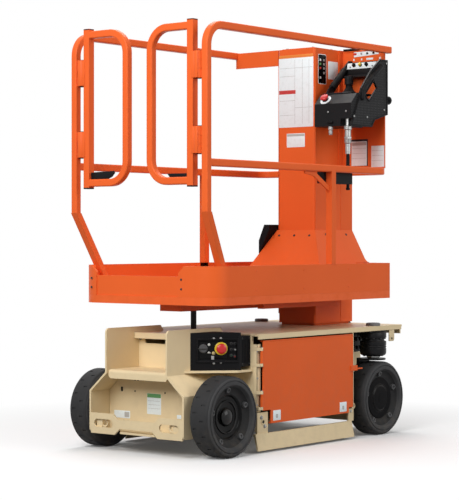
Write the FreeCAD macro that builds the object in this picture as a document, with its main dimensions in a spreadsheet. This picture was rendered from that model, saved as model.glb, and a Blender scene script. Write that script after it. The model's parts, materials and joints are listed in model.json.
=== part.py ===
import FreeCAD, Part
import math
import os
import Sketcher

os.makedirs("parts", exist_ok=True)
doc = FreeCAD.newDocument("MastLift")
dims = doc.addObject("Spreadsheet::Sheet", "Dims")


class Size:
    """A number in millimetres, kept together with the sheet expression that gives it."""

    def __init__(self, value, text):
        self.value = float(value)
        self.text = text

    def __add__(self, other):
        other = as_size(other)
        return Size(self.value + other.value, f"({self.text} + {other.text})")

    def __radd__(self, other):
        return as_size(other) + self

    def __sub__(self, other):
        other = as_size(other)
        return Size(self.value - other.value, f"({self.text} - {other.text})")

    def __rsub__(self, other):
        return as_size(other) - self

    def __mul__(self, other):
        other = as_size(other)
        return Size(self.value * other.value, f"({self.text} * {other.text})")

    def __rmul__(self, other):
        return as_size(other) * self

    def __truediv__(self, other):
        other = as_size(other)
        return Size(self.value / other.value, f"({self.text} / {other.text})")

    def __neg__(self):
        return self * -1


def as_size(thing):
    if isinstance(thing, Size):
        return thing
    return Size(thing, f"({float(thing)})")


def driving(alias, number):
    """Put one driving dimension in the sheet and return it as a Size."""
    driving.row += 1
    cell = f"B{driving.row}"
    dims.set(f"A{driving.row}", alias)
    dims.set(cell, str(number))
    dims.setAlias(cell, alias)
    return Size(number, f"Dims.{alias}")


driving.row = 0

# ---------------------------------------------------------------- driving dimensions
# X runs from the rear, where people climb in, to the mast; Y is to the left; Z is up.
gauge = driving("gauge", 8)
sheet_gauge = driving("sheet_gauge", 5)
half_length = driving("half_length", 697)
# wheels and axles
wheel_dia = driving("wheel_dia", 318)
tyre_wide = driving("tyre_wide", 98)
disc_dia = driving("disc_dia", 180)
tyre_flat_dia = driving("tyre_flat_dia", 256)
hub_set_in = driving("hub_set_in", 28)
wheel_half_track = driving("wheel_half_track", 317)
rear_axle_x = driving("rear_axle_x", -538)
front_axle_x = driving("front_axle_x", 518)
spindle_dia = driving("spindle_dia", 35)
running_gap = driving("running_gap", 0.05)
# steering
kingpin_half = driving("kingpin_half", 307)
kingpin_dia = driving("kingpin_dia", 30)
head_dia = driving("head_dia", 116)
head_low = driving("head_low", 332)
head_high = driving("head_high", 444)
motor_dia = driving("motor_dia", 124)
# chassis
pan_low = driving("pan_low", 76)
wall_half = driving("wall_half", 163)
flank_half = driving("flank_half", 248)
wall_high = driving("wall_high", 495)
bend_high = driving("bend_high", 319)
bend_low = driving("bend_low", 243)
wall_step_x = driving("wall_step_x", -365)
bay_rear_x = driving("bay_rear_x", -348)
bay_front_x = driving("bay_front_x", 315)
bay_half = driving("bay_half", 310)
bay_floor_low = driving("bay_floor_low", 112)
end_plate_x = driving("end_plate_x", -585)
end_plate_high = driving("end_plate_high", 295)
bumper_low = driving("bumper_low", 72)
bumper_high = driving("bumper_high", 154)
bumper_mid_low = driving("bumper_mid_low", 97)
bumper_mid_high = driving("bumper_mid_high", 133)
pan_nose_half = driving("pan_nose_half", 90)
tread_x = driving("tread_x", -686)
tread_high = driving("tread_high", 331)
tread_lip_low = driving("tread_lip_low", 295)
step_wall_x = driving("step_wall_x", -502)
deck_high = driving("deck_high", 472)
deck_half = driving("deck_half", 345)
deck_rear_x = driving("deck_rear_x", -530)
deck_lip = driving("deck_lip", 12)
deck_nose = driving("deck_nose", 32)
box_half = driving("box_half", 124)
# battery doors, guards and ground controls
door_rear_x = driving("door_rear_x", -320)
door_front_x = driving("door_front_x", 308)
door_low = driving("door_low", 113)
door_high = driving("door_high", 446)
door_deep = driving("door_deep", 20)
hinge_x = driving("hinge_x", -327)
hinge_half = driving("hinge_half", 342)
guard_low = driving("guard_low", 10)
guard_half = driving("guard_half", 355)
battery_high = driving("battery_high", 310)
hinge_pin_dia = driving("hinge_pin_dia", 6)
control_rear_x = driving("control_rear_x", -556)
control_run = driving("control_run", 138)
control_low = driving("control_low", 332)
control_high = driving("control_high", 481)
control_recess = driving("control_recess", 6)
stop_z = driving("stop_z", 418)
rest_x = driving("rest_x", -330)
rest_y = driving("rest_y", 8)
rest_dia = driving("rest_dia", 24)
# mast
mast_rear_x = driving("mast_rear_x", 371)
mast_seam_x = driving("mast_seam_x", 567.5)
mast_front_x = driving("mast_front_x", 658)
mast_half = driving("mast_half", 100)
mast_low = driving("mast_low", 480)
mast_high = driving("mast_high", 1690)
nest_gap = driving("nest_gap", 6)
stage_low = driving("stage_low", 100)
stage_high = driving("stage_high", 1660)
# platform
floor_low = driving("floor_low", 593)
floor_thick = driving("floor_thick", 12)
rim_high = driving("rim_high", 625)
toe_high = driving("toe_high", 746)
toe_rear_high = driving("toe_rear_high", 705)
plat_rear_x = driving("plat_rear_x", -644)
plat_front_x = driving("plat_front_x", 583)
plat_half = driving("plat_half", 356)
plat_corner = driving("plat_corner", 95)
toe_thick = driving("toe_thick", 12)
toe_right_end = driving("toe_right_end", -174)
toe_left_end = driving("toe_left_end", 259)
tube = driving("tube", 30)
tube_corner = driving("tube_corner", 6)
post_x = driving("post_x", -675)
rail_half = driving("rail_half", 343)
leg_half = driving("leg_half", 308)
leg_bend_z = driving("leg_bend_z", 957)
leg_foot_x = driving("leg_foot_x", -487)
top_rail_z = driving("top_rail_z", 1678)
mid_rail_z = driving("mid_rail_z", 1146)
rail_bend = driving("rail_bend", 82)
mid_bend = driving("mid_bend", 60)
mid_post_x = driving("mid_post_x", 149)
right_rail_end = driving("right_rail_end", 588)
left_rail_end = driving("left_rail_end", 399)
skirt_high = driving("skirt_high", 890)
skirt_flare = driving("skirt_flare", 160)
# console and its cable
console_rear_x = driving("console_rear_x", 300)
console_low = driving("console_low", 1366)
console_top = driving("console_top", 1480)
console_right = driving("console_right", 345)
console_left = driving("console_left", 150)
console_plate = driving("console_plate", 8)
cable_x = driving("cable_x", 318)
cable_half = driving("cable_half", 312)
cable_dia = driving("cable_dia", 14)
# gates
gate_axis_half = driving("gate_axis_half", 308)
gate_post_half = driving("gate_post_half", 272.5)
gate_low = driving("gate_low", 1054)
gate_high = driving("gate_high", 1700)
gate_top_z = driving("gate_top_z", 1675)
gate_bottom_z = driving("gate_bottom_z", 1077)
gate_inner_y = driving("gate_inner_y", 64)
gate_bend = driving("gate_bend", 85)
gate_hinge_dia = driving("gate_hinge_dia", 38)
gate_pin_dia = driving("gate_pin_dia", 14)
doc.recompute()

# ---------------------------------------------------------------- drawing helpers
# Each plane's two sketch directions are (X, Y), (X, Z) and (Y, Z).
PLANES = {"top": "XY_Plane", "side": "XZ_Plane", "end": "YZ_Plane"}
made = []


def new_body(name):
    """An empty body whose Label names its file."""
    body = doc.addObject("PartDesign::Body", name)
    body.Label = name
    body.AllowCompound = True
    made.append(body)
    return body


def bind(thing, prop, size):
    thing.setExpression(prop, as_size(size).text)


def place(body, across=0, left=0, up=0):
    """Move a finished body to its place in the machine."""
    for letter, size in (("x", across), ("y", left), ("z", up)):
        bind(body, f"Placement.Base.{letter}", size)


def pin_point(sketch, geo, pos, across, up):
    """Hold one point of a sketch at two sheet sizes from its origin."""
    for kind, size, axis in (("DistanceX", as_size(across), -2), ("DistanceY", as_size(up), -1)):
        if abs(size.value) < 1e-9:
            sketch.addConstraint(Sketcher.Constraint("PointOnObject", geo, pos, axis))
            continue
        if size.value > 0:
            index = sketch.addConstraint(Sketcher.Constraint(kind, -1, 1, geo, pos, size.value))
            bind(sketch, f"Constraints[{index}]", size)
        else:
            index = sketch.addConstraint(Sketcher.Constraint(kind, geo, pos, -1, 1, -size.value))
            bind(sketch, f"Constraints[{index}]", -size)


def corner_arc(before, point, after, radius):
    """The two tangent points of a rounded corner, and the arc between them."""
    to_before = (before - point).normalize()
    to_after = (after - point).normalize()
    half_turn = to_before.getAngle(to_after) / 2
    reach = radius / math.tan(half_turn)
    middle_way = (to_before + to_after).normalize()
    centre = point + middle_way * (radius / math.sin(half_turn))
    first = point + to_before * reach
    last = point + to_after * reach
    return first, last, Part.Arc(first, centre - middle_way * radius, last)


def draw(sketch, corners, closed=True):
    """Draw straight edges through corners given as (across, up) or (across, up, radius)."""
    points = [FreeCAD.Vector(as_size(c[0]).value, as_size(c[1]).value, 0) for c in corners]
    count = len(corners)
    starts = list(points)
    ends = list(points)
    arcs = {}
    for i, corner in enumerate(corners):
        if len(corner) == 3:
            before = points[i - 1]
            after = points[(i + 1) % count]
            ends[i], starts[i], arcs[i] = corner_arc(before, points[i], after, as_size(corner[2]).value)
    lines = []
    for i in range(count if closed else count - 1):
        lines.append(sketch.addGeometry(Part.LineSegment(starts[i], ends[(i + 1) % count])))
    for i, corner in enumerate(corners):
        if not closed and i in (0, count - 1):
            edge, pos = (lines[0], 1) if i == 0 else (lines[-1], 2)
            pin_point(sketch, edge, pos, corner[0], corner[1])
            continue
        arriving = lines[i - 1]
        leaving = lines[i]
        if i not in arcs:
            sketch.addConstraint(Sketcher.Constraint("Coincident", arriving, 2, leaving, 1))
            pin_point(sketch, leaving, 1, corner[0], corner[1])
            continue
        arc = sketch.addGeometry(arcs[i])
        first, last = (1, 2) if sketch.getPoint(arc, 1).distanceToPoint(ends[i]) < 1e-6 else (2, 1)
        tip = sketch.addGeometry(Part.Point(points[i]), True)
        pin_point(sketch, tip, 1, corner[0], corner[1])
        sketch.addConstraint(Sketcher.Constraint("PointOnObject", tip, 1, arriving))
        sketch.addConstraint(Sketcher.Constraint("PointOnObject", tip, 1, leaving))
        sketch.addConstraint(Sketcher.Constraint("Tangent", arriving, 2, arc, first))
        sketch.addConstraint(Sketcher.Constraint("Tangent", arc, last, leaving, 1))
        index = sketch.addConstraint(Sketcher.Constraint("Radius", arc, as_size(corner[2]).value))
        bind(sketch, f"Constraints[{index}]", corner[2])


def sketch_on(body, plane, corners, level=0, closed=True):
    """A sketch of the body on one of its origin planes, moved to a level along the normal."""
    sketch = body.newObject("Sketcher::SketchObject", f"{body.Name}_sketch")
    role = PLANES[plane]
    sketch.AttachmentSupport = [(next(f for f in body.Origin.OriginFeatures if f.Role == role), "")]
    sketch.MapMode = "FlatFace"
    # the side plane's normal points to -Y
    bind(sketch, "AttachmentOffset.Base.z", -as_size(level) if plane == "side" else level)
    draw(sketch, corners, closed)
    return sketch


def ordered(one, other):
    return sorted((as_size(one), as_size(other)), key=lambda size: size.value)


def rect(low, high):
    """The four corners of a rectangle from two opposite ones."""
    return [(low[0], low[1]), (high[0], low[1]), (high[0], high[1]), (low[0], high[1])]


def rounded(low, high, radius):
    return [(across, up, radius) for across, up in rect(low, high)]


def pad(body, plane, corners, one, other):
    """Add the material between two levels of a plane."""
    low, high = ordered(one, other)
    sketch = sketch_on(body, plane, corners, high if plane == "side" else low)
    feature = body.newObject("PartDesign::Pad", f"{body.Name}_pad")
    feature.Profile = sketch
    bind(feature, "Length", high - low)
    return feature


def cut(body, plane, corners, one, other):
    """Take away the material between two levels of a plane."""
    doc.recompute()
    before = body.Shape.Volume
    low, high = ordered(one, other)
    sketch = sketch_on(body, plane, corners, high if plane == "side" else low)
    feature = body.newObject("PartDesign::Pocket", f"{body.Name}_pocket")
    feature.Profile = sketch
    feature.Reversed = True
    bind(feature, "Length", high - low)
    doc.recompute()
    if body.Shape.Volume > before - 1:
        raise ValueError(f"a pocket of {body.Label} takes nothing away")
    return feature


def ease_corner(body, plane, corner, ways, radius, one, other):
    """Round off a square corner; the two ways (1 or -1) point out of the material there."""
    across, up = (as_size(size) for size in corner)
    across_way, up_way = ways
    reach = radius + 1
    cut(body, plane, [(across + across_way, up + up_way), (across + across_way, up - reach * up_way),
                      (across, up - reach * up_way), (across, up, radius), (across - reach * across_way, up),
                      (across - reach * across_way, up + up_way)], one, other)


def turn(body, plane, corners, axis="V_Axis"):
    """Add a solid of revolution about one of the sketch's axes."""
    sketch = sketch_on(body, plane, corners)
    feature = body.newObject("PartDesign::Revolution", f"{body.Name}_turned")
    feature.Profile = sketch
    feature.ReferenceAxis = (sketch, [axis])
    feature.Angle = 360
    return feature


def sweep(body, plane, path, level, end_plane, side=tube, corner=tube_corner):
    """Add a square tube along a path drawn on a plane; the end plane holds its first section."""
    spine = sketch_on(body, plane, path, level, closed=False)
    start = (as_size(path[0][0]), as_size(path[0][1]))
    if plane == "side":
        centre, station = ((start[0], level), start[1]) if end_plane == "top" else ((level, start[1]), start[0])
    elif plane == "top":
        centre, station = ((start[1], level), start[0]) if end_plane == "end" else ((start[0], level), start[1])
    else:
        centre, station = ((level, start[1]), start[0]) if end_plane == "side" else ((level, start[0]), start[1])
    half = side / 2
    section = sketch_on(body, end_plane, rounded((centre[0] - half, centre[1] - half),
                                                 (centre[0] + half, centre[1] + half), corner), station)
    doc.recompute()
    feature = body.newObject("PartDesign::AdditivePipe", f"{body.Name}_tube")
    feature.Profile = section
    feature.Spine = (spine, [f"Edge{i + 1}" for i in range(len(spine.Shape.Edges))])
    return feature


def loft(body, plane, first, first_level, last, last_level, take_away=False):
    """Join two outlines on parallel planes with ruled faces."""
    doc.recompute()
    low = sketch_on(body, plane, first, first_level)
    high = sketch_on(body, plane, last, last_level)
    kind = "PartDesign::SubtractiveLoft" if take_away else "PartDesign::AdditiveLoft"
    feature = body.newObject(kind, f"{body.Name}_loft")
    feature.Profile = low
    feature.Sections = [high]
    feature.Ruled = True
    return feature


def mirrored(corners, side):
    """Give an outline on the end plane or the top plane to the left (1) or the right (-1)."""
    return [(c[0] * side, *c[1:]) for c in corners]


def side_name(side):
    return "left" if side > 0 else "right"


# ---------------------------------------------------------------- chassis
pan_high = pan_low + gauge
deck_low = deck_high - gauge
wall_inner = wall_half - gauge
flank_inner = flank_half - gauge
# the bent plate's inner corners sit this much lower than its outer ones
bend_drop = gauge * 0.45


def side_frame(side):
    """Bent side plate from the rear face to the battery bay, with its raised upper edge."""
    body = new_body(f"side_frame_{side_name(side)}")
    profile = [(wall_half, wall_high), (wall_half, bend_high), (flank_half, bend_low), (flank_half, pan_low),
               (flank_inner, pan_low), (flank_inner, bend_low - bend_drop),
               (wall_inner, bend_high - bend_drop), (wall_inner, wall_high)]
    pad(body, "end", mirrored(profile, side), -half_length, bay_rear_x)
    cut(body, "side", [(wall_step_x, wall_high + 1), (wall_step_x, wall_high), (bay_rear_x, deck_high),
                       (bay_rear_x + 1, deck_high), (bay_rear_x + 1, wall_high + 1)],
        wall_inner * side, wall_half * side)
    ease_corner(body, "side", (-half_length, wall_high), (-1, 1), 18, wall_inner * side, wall_half * side)
    ease_corner(body, "side", (-half_length, pan_low), (-1, -1), 14, flank_inner * side, flank_half * side)
    return body


def control_shelf(body):
    """Flat shelf under the ground controls, on the right side plate."""
    shelf_half = wall_half + control_run + 12
    pad(body, "top", [(control_rear_x - 37, -wall_half), (control_rear_x - 37 + shelf_half - wall_half, -shelf_half),
                      (bay_rear_x, -shelf_half), (bay_rear_x, -wall_half)], control_low - gauge, control_low)


side_frame(1)
control_shelf(side_frame(-1))


def rear_end_plate():
    """Closing plate between the side plates, set in from the rear face."""
    body = new_body("rear_end_plate")
    low_half = flank_inner - 0.5
    top_half = wall_inner + 22
    pad(body, "end", [(-low_half, pan_high), (low_half, pan_high), (low_half, bend_low - bend_drop - 1),
                      (top_half, end_plate_high), (-top_half, end_plate_high),
                      (-low_half, bend_low - bend_drop - 1)], end_plate_x, end_plate_x + gauge)


def rear_bumper():
    """Low cross plate at the rear face, raised in the middle, with a tie-down slot each side."""
    body = new_body("rear_bumper")
    ear = flank_inner * 0.5
    low_ear = ear - 8
    low_mid = ear - 35
    pad(body, "end", [(-flank_inner, bumper_low), (-low_ear, bumper_low), (-low_mid, bumper_mid_low),
                      (low_mid, bumper_mid_low), (low_ear, bumper_low), (flank_inner, bumper_low),
                      (flank_inner, bumper_high), (ear, bumper_high), (ear - 22, bumper_mid_high),
                      (-ear + 22, bumper_mid_high), (-ear, bumper_high), (-flank_inner, bumper_high)],
        -half_length, -half_length + gauge)
    for side in (1, -1):
        near, far = ordered((ear + 2) * side, (flank_inner - 18) * side)
        cut(body, "end", rounded((near, bumper_mid_low + 1), (far, bumper_mid_low + 33), 15),
            -half_length - 1, -half_length + gauge + 1)


def entry_step():
    """Tread with a rolled front edge, and the wall behind it with its hand slot."""
    body = new_body("entry_step")
    half = wall_inner - 0.5
    tread_low = tread_high - gauge
    pad(body, "side", [(step_wall_x, tread_high), (tread_x, tread_high, 14), (tread_x, tread_lip_low),
                       (tread_x + gauge, tread_lip_low), (tread_x + gauge, tread_low, 6),
                       (step_wall_x, tread_low)], -half, half)
    pad(body, "end", rect((-half, tread_low), (half, deck_low)), step_wall_x, step_wall_x + gauge)
    cut(body, "end", rounded((-half + 32, deck_low - 36), (half - 32, deck_low - 10), 8),
        step_wall_x - 1, step_wall_x + gauge + 1)
    for side in (1, -1):
        ease_corner(body, "end", (half * side, tread_lip_low), (side, -1), 15, tread_x - 1, tread_x + gauge + 1)


mast_mid_x = (mast_rear_x + mast_front_x) / 2
outer_stage_half_x = (mast_front_x - mast_rear_x) / 2 - sheet_gauge - nest_gap
outer_stage_half_y = mast_half - sheet_gauge - nest_gap


def deck_plate():
    """Deck over the battery bays and front axle, with folded edges and the mast's opening."""
    body = new_body("deck_plate")
    inner = wall_inner - 0.5
    pad(body, "top", [(deck_rear_x, -inner), (bay_rear_x, -inner), (bay_rear_x, -deck_half),
                      (half_length, -deck_half, 12), (half_length, deck_half, 12), (bay_rear_x, deck_half),
                      (bay_rear_x, inner), (deck_rear_x, inner)], deck_low, deck_high)
    for side in (1, -1):
        near, far = ordered((deck_half - 6) * side, deck_half * side)
        pad(body, "top", rect((bay_rear_x, near), (half_length - 12, far)), deck_low - deck_lip, deck_low + 1)
    pad(body, "top", rect((half_length - gauge, -deck_half + 12), (half_length, deck_half - 12)),
        deck_low - deck_nose, deck_low + 1)
    pad(body, "top", rect((deck_rear_x, -inner), (deck_rear_x + gauge, inner)), deck_low - 16, deck_low + 1)
    for side in (1, -1):
        disc(body, front_axle_x, kingpin_half * side, 29, deck_high, deck_high + 10)
    clear = nest_gap + 2
    cut(body, "top", rect((mast_mid_x - outer_stage_half_x - clear, -outer_stage_half_y - clear),
                          (mast_mid_x + outer_stage_half_x + clear, outer_stage_half_y + clear)),
        deck_low - 1, deck_high + 1)


def belly_pan():
    """Floor of the chassis behind the battery bays, and the higher floor under them."""
    body = new_body("belly_pan")
    rear = -half_length + gauge
    cut_back = rear + 89
    slant_half = pan_nose_half + 75
    pad(body, "top", [(rear, -pan_nose_half), (cut_back, -slant_half), (cut_back, -flank_inner),
                      (bay_rear_x + gauge, -flank_inner), (bay_rear_x + gauge, flank_inner),
                      (cut_back, flank_inner), (cut_back, slant_half), (rear, pan_nose_half)],
        pan_low, pan_high)
    pad(body, "top", rect((bay_rear_x + gauge, -bay_half), (bay_front_x, bay_half)),
        bay_floor_low, bay_floor_low + gauge)


def bay_bulkheads():
    """Cross plates that close the battery bays, with the fixed halves of the door hinges."""
    body = new_body("bay_bulkheads")
    pad(body, "end", rect((-bay_half, pan_high), (bay_half, deck_low)), bay_rear_x, bay_rear_x + gauge)
    front_half = deck_half - 7
    pad(body, "end", rect((-front_half, pan_low), (front_half, deck_low)), bay_front_x, bay_front_x + gauge)
    for side in (1, -1):
        axis_y = hinge_half * side
        leaf_inner = (hinge_half - 4) * side
        leaf_outer = (hinge_half + 1) * side
        for low in (door_low + 70, door_high - 90):
            for bottom in (low - 12.5, low + 50.5):
                disc(body, hinge_x, axis_y, 6, bottom, bottom + 12)
                near, far = ordered(leaf_inner, leaf_outer)
                pad(body, "top", rect((bay_rear_x, near), (hinge_x, far)), bottom, bottom + 12)
                near, far = ordered((bay_half - 1) * side, leaf_outer)
                pad(body, "top", rect((bay_rear_x, near), (bay_rear_x + gauge, far)), bottom, bottom + 12)
            disc(body, hinge_x, axis_y, hinge_pin_dia / 2, low - 12, low + 62)


def mast_box():
    """Deep box that holds the foot of the mast and the front axle."""
    body = new_body("mast_box")
    rear = bay_front_x + gauge
    front = half_length - gauge
    pad(body, "top", rect((rear, -box_half), (front, box_half)), pan_low, deck_low)
    cut(body, "top", rect((rear + gauge, -box_half + gauge), (front - gauge, box_half - gauge)),
        pan_high, deck_low + 1)


def steering_heads():
    """Rotary steering heads under the deck, each on its bracket off the mast box."""
    body = new_body("steering_heads")
    pin_reach = head_high - head_low - 8
    for side in (1, -1):
        near, far = ordered(box_half * side, (deck_half - 8) * side)
        pad(body, "top", rect((front_axle_x - 70, near), (front_axle_x + 70, far)), head_high, deck_low)
        centre = kingpin_half * side
        disc(body, front_axle_x, centre, head_dia / 2 - 6, head_low, head_low + 8)
        disc(body, front_axle_x, centre, head_dia / 2, head_low + 8, head_high)
        bore(body, front_axle_x, centre, kingpin_dia / 2 + running_gap, head_low, head_low + pin_reach)


def circle_on(body, across, left, radius, level):
    """A circle on the top plane, with its centre and radius from the sheet."""
    sketch = sketch_on(body, "top", [], level, closed=False)
    middle = FreeCAD.Vector(as_size(across).value, as_size(left).value, 0)
    ring = sketch.addGeometry(Part.Circle(middle, FreeCAD.Vector(0, 0, 1), as_size(radius).value))
    pin_point(sketch, ring, 3, across, left)
    index = sketch.addConstraint(Sketcher.Constraint("Radius", ring, as_size(radius).value))
    bind(sketch, f"Constraints[{index}]", radius)
    return sketch


def disc(body, across, left, radius, low, high):
    """Add an upright round boss."""
    feature = body.newObject("PartDesign::Pad", f"{body.Name}_disc")
    feature.Profile = circle_on(body, across, left, radius, low)
    bind(feature, "Length", as_size(high) - low)


def bore(body, across, left, radius, low, high):
    """Cut an upright round hole."""
    doc.recompute()
    before = body.Shape.Volume
    feature = body.newObject("PartDesign::Pocket", f"{body.Name}_bore")
    feature.Profile = circle_on(body, across, left, radius, low)
    feature.Reversed = True
    bind(feature, "Length", as_size(high) - low)
    doc.recompute()
    if body.Shape.Volume > before - 1:
        raise ValueError(f"a bore of {body.Label} takes nothing away")


def platform_rest():
    """Round post on the deck that the lowered platform stands over."""
    body = new_body("platform_rest")
    disc(body, rest_x, rest_y, rest_dia / 2, deck_high, floor_low)
    disc(body, rest_x, rest_y, rest_dia / 2 + 10, deck_high, deck_high + 6)


def batteries():
    """The battery packs, one plain block in each bay."""
    body = new_body("batteries")
    for side in (1, -1):
        near, far = ordered(20 * side, (bay_half - 10) * side)
        pad(body, "top", rect((bay_rear_x + 28, near), (bay_front_x - 15, far)), bay_floor_low + gauge, battery_high)


def on_slant(along, deep=0):
    """A point on the slanted face of the ground controls, set into it by this much."""
    return control_rear_x + control_run * along + deep, -(wall_half + control_run * along) + deep


def ground_control_box():
    """Black control box that slants from the side plate to the bulkhead, over the rear wheel."""
    body = new_body("ground_control_box")
    rear, inner = on_slant(0)
    nose, outer = on_slant(1)
    cap_x = nose + 10
    pad(body, "top", [(rear, inner), (nose, outer, 12), (cap_x, outer), (cap_x, inner)], control_low, control_high)
    pad(body, "top", rect((cap_x, outer), (bay_rear_x, inner)), control_low + 14, control_high - 14)
    face = [on_slant(0.16, -2), on_slant(0.95, -2), on_slant(0.95, control_recess), on_slant(0.16, control_recess)]
    cut(body, "top", face, control_low + 39, control_high - 31)


def ground_stop():
    """Stop button of the ground controls, and the coloured ring round it."""
    ring = new_body("ground_stop_ring")
    turn(ring, "top", [(0, 0), (26, 0), (26, -5), (22, -6), (0, -6)])
    button = new_body("ground_stop_button")
    turn(button, "top", [(0, -6), (10, -6), (10, -15), (20, -16), (20, -23), (15, -27), (0, -27)])
    across, left = on_slant(0.63, control_recess)
    for piece in (ring, button):
        piece.Placement.Rotation = FreeCAD.Rotation(FreeCAD.Vector(0, 0, 1), -45)
        place(piece, across, left, stop_z)


def pothole_guards():
    """Sloping plates below the doors, hung on brackets from the bulkheads."""
    body = new_body("pothole_guards")
    for side in (1, -1):
        pad(body, "end", mirrored([(guard_half - 27, pan_low - 8), (guard_half - 23, pan_low - 8),
                                   (guard_half - 8, guard_low), (guard_half, guard_low),
                                   (guard_half - 15, pan_low), (guard_half - 27, pan_low)], side),
            bay_rear_x - 17, bay_front_x - 10)
        near, far = ordered((guard_half - 27) * side, (guard_half - 19) * side)
        pad(body, "top", rect((bay_rear_x, near), (bay_rear_x + 70, far)), pan_low - 1, pan_low + 84)
        near, far = ordered(bay_half * side, (guard_half - 19) * side)
        pad(body, "top", rect((bay_rear_x, near), (bay_rear_x + gauge, far)), pan_low + gauge, pan_low + 84)
        near, far = ordered((guard_half - 25) * side, (deck_half - 7) * side)
        pad(body, "top", rect((bay_front_x - 31, near), (bay_front_x, far)), pan_low - 1, pan_low + 52)


wheel_mid_z = wheel_dia / 2


def rear_axle():
    """Stub axles of the rear wheels, on flanges outside the side plates."""
    body = new_body("rear_axle")
    spindle = spindle_dia / 2
    for side in (1, -1):
        turn(body, "top", [(0, flank_half * side), (52, flank_half * side), (52, (flank_half + 10) * side),
                           (spindle, (flank_half + 10) * side), (spindle, (wheel_half_track + 10) * side),
                           (0, (wheel_half_track + 10) * side)])
    place(body, rear_axle_x, 0, wheel_mid_z)


rear_end_plate()
rear_bumper()
entry_step()
deck_plate()
belly_pan()
bay_bulkheads()
mast_box()
steering_heads()
platform_rest()
batteries()
ground_control_box()
ground_stop()
pothole_guards()
rear_axle()

# ---------------------------------------------------------------- battery doors


def door(side):
    """Pan-shaped door hinged at its rear edge, with a latch tab and hinge barrels."""
    body = new_body(f"door_{side_name(side)}")
    outer = deck_half * side
    skin_inner = (deck_half - 5) * side
    face = [(door_rear_x, door_high), (door_rear_x, door_low + 55), (door_rear_x + 50, door_low + 55),
            (door_rear_x + 50, door_low), (door_front_x - 30, door_low), (door_front_x - 30, door_low + 22),
            (door_front_x, door_low + 22), (door_front_x, door_high)]
    pad(body, "side", face, skin_inner, outer)
    returns = [((door_rear_x + 8, door_high - 5), (door_front_x, door_high)),
               ((door_rear_x + 50, door_low), (door_front_x - 30, door_low + 5)),
               ((door_front_x - 5, door_low + 22), (door_front_x, door_high))]
    for low, high in returns:
        pad(body, "side", rect(low, high), (deck_half - door_deep) * side, (deck_half - 4) * side)
    pad(body, "side", rect((door_front_x - 20, 290), (door_front_x + 26, 312)), (deck_half - 2) * side,
        (deck_half + 6) * side)
    for low in (door_low + 70, door_high - 90):
        disc(body, hinge_x, hinge_half * side, 6, low, low + 50)
        near, far = ordered(skin_inner, outer)
        pad(body, "top", rect((hinge_x, near), (door_rear_x + 4, far)), low, low + 50)
        bore(body, hinge_x, hinge_half * side, hinge_pin_dia / 2 + running_gap, low, low + 50)


for side in (1, -1):
    door(side)

# ---------------------------------------------------------------- steered knuckles


def knuckle(side):
    """Kingpin, arm and drive motor that carry one front wheel."""
    body = new_body(f"knuckle_{side_name(side)}")
    plate_low = wheel_dia + 6
    pin_top = head_high - 14
    centre = kingpin_half * side
    disc(body, front_axle_x, centre, head_dia / 2 - 4, plate_low, head_low - 0.5)
    disc(body, front_axle_x, centre, kingpin_dia / 2, plate_low, pin_top)
    arm_outer = (wheel_half_track - tyre_wide / 2 - 7) * side
    arm_inner = arm_outer - 14 * side
    near, far = ordered(arm_inner, centre)
    pad(body, "top", rect((front_axle_x - 40, near), (front_axle_x + 40, far)), plate_low, head_low - 0.5)
    pad(body, "side", rect((front_axle_x - 40, wheel_mid_z), (front_axle_x + 40, head_low - 0.5)),
        arm_inner, arm_outer)
    motor = new_body(f"drive_motor_{side_name(side)}")
    shell = motor_dia / 2
    turn(motor, "top", [(0, arm_inner - 46 * side), (shell - 12, arm_inner - 46 * side),
                        (shell - 12, arm_inner), (0, arm_inner)])
    turn(motor, "top", [(0, arm_outer), (shell - 8, arm_outer), (shell - 8, arm_outer + 5 * side),
                        (spindle_dia / 2, arm_outer + 5 * side),
                        (spindle_dia / 2, (wheel_half_track + 26) * side), (0, (wheel_half_track + 26) * side)])
    place(motor, front_axle_x, 0, wheel_mid_z)


for side in (1, -1):
    knuckle(side)

# ---------------------------------------------------------------- wheels


def wheel(name, axle_x, side, face_in):
    """Solid tyre with a dished outer side, and its disc set in from that side."""
    half = tyre_wide / 2
    outer = wheel_dia / 2
    inner = disc_dia / 2
    shoulder = 14
    rim = (half - hub_set_in) * side
    tyre = new_body(f"tyre_{name}")
    turn(tyre, "top", [(inner, -half * side), (outer - shoulder, -half * side),
                       (outer, -(half - shoulder) * side), (outer, (half - shoulder) * side),
                       (outer - shoulder, half * side), (tyre_flat_dia / 2, half * side),
                       (tyre_flat_dia / 2 - 3, (half - 4) * side), (inner + 2, rim), (inner, rim)])
    place(tyre, axle_x, wheel_half_track * side, wheel_mid_z)
    disc_body = new_body(f"wheel_{name}")
    bore_radius = spindle_dia / 2 + running_gap
    face = (half - face_in) * side
    back = (half - face_in - 16) * side
    rim_back = -(half - 10) * side
    cap = face + 9 * side
    turn(disc_body, "top", [(inner, rim_back), (inner, rim), (inner - 8, rim), (inner - 8, face), (34, face),
                            (26, cap), (0, cap), (0, cap - 8 * side), (bore_radius, cap - 8 * side),
                            (bore_radius, back - 12 * side), (34, back - 12 * side), (34, back),
                            (inner - 8, back), (inner - 8, rim_back)])
    place(disc_body, axle_x, wheel_half_track * side, wheel_mid_z)


for side in (1, -1):
    wheel(f"rear_{side_name(side)}", rear_axle_x, side, 35)
    wheel(f"front_{side_name(side)}", front_axle_x, side, 17)

# ---------------------------------------------------------------- mast


def mast_base():
    """Fixed inner section of the mast, standing on the floor of its box."""
    body = new_body("mast_base")
    step = 2 * (sheet_gauge + nest_gap)
    half_x = outer_stage_half_x - step
    half_y = outer_stage_half_y - step
    pad(body, "top", rect((mast_mid_x - half_x, -half_y), (mast_mid_x + half_x, half_y)), pan_high,
        stage_high - 20)


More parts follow.
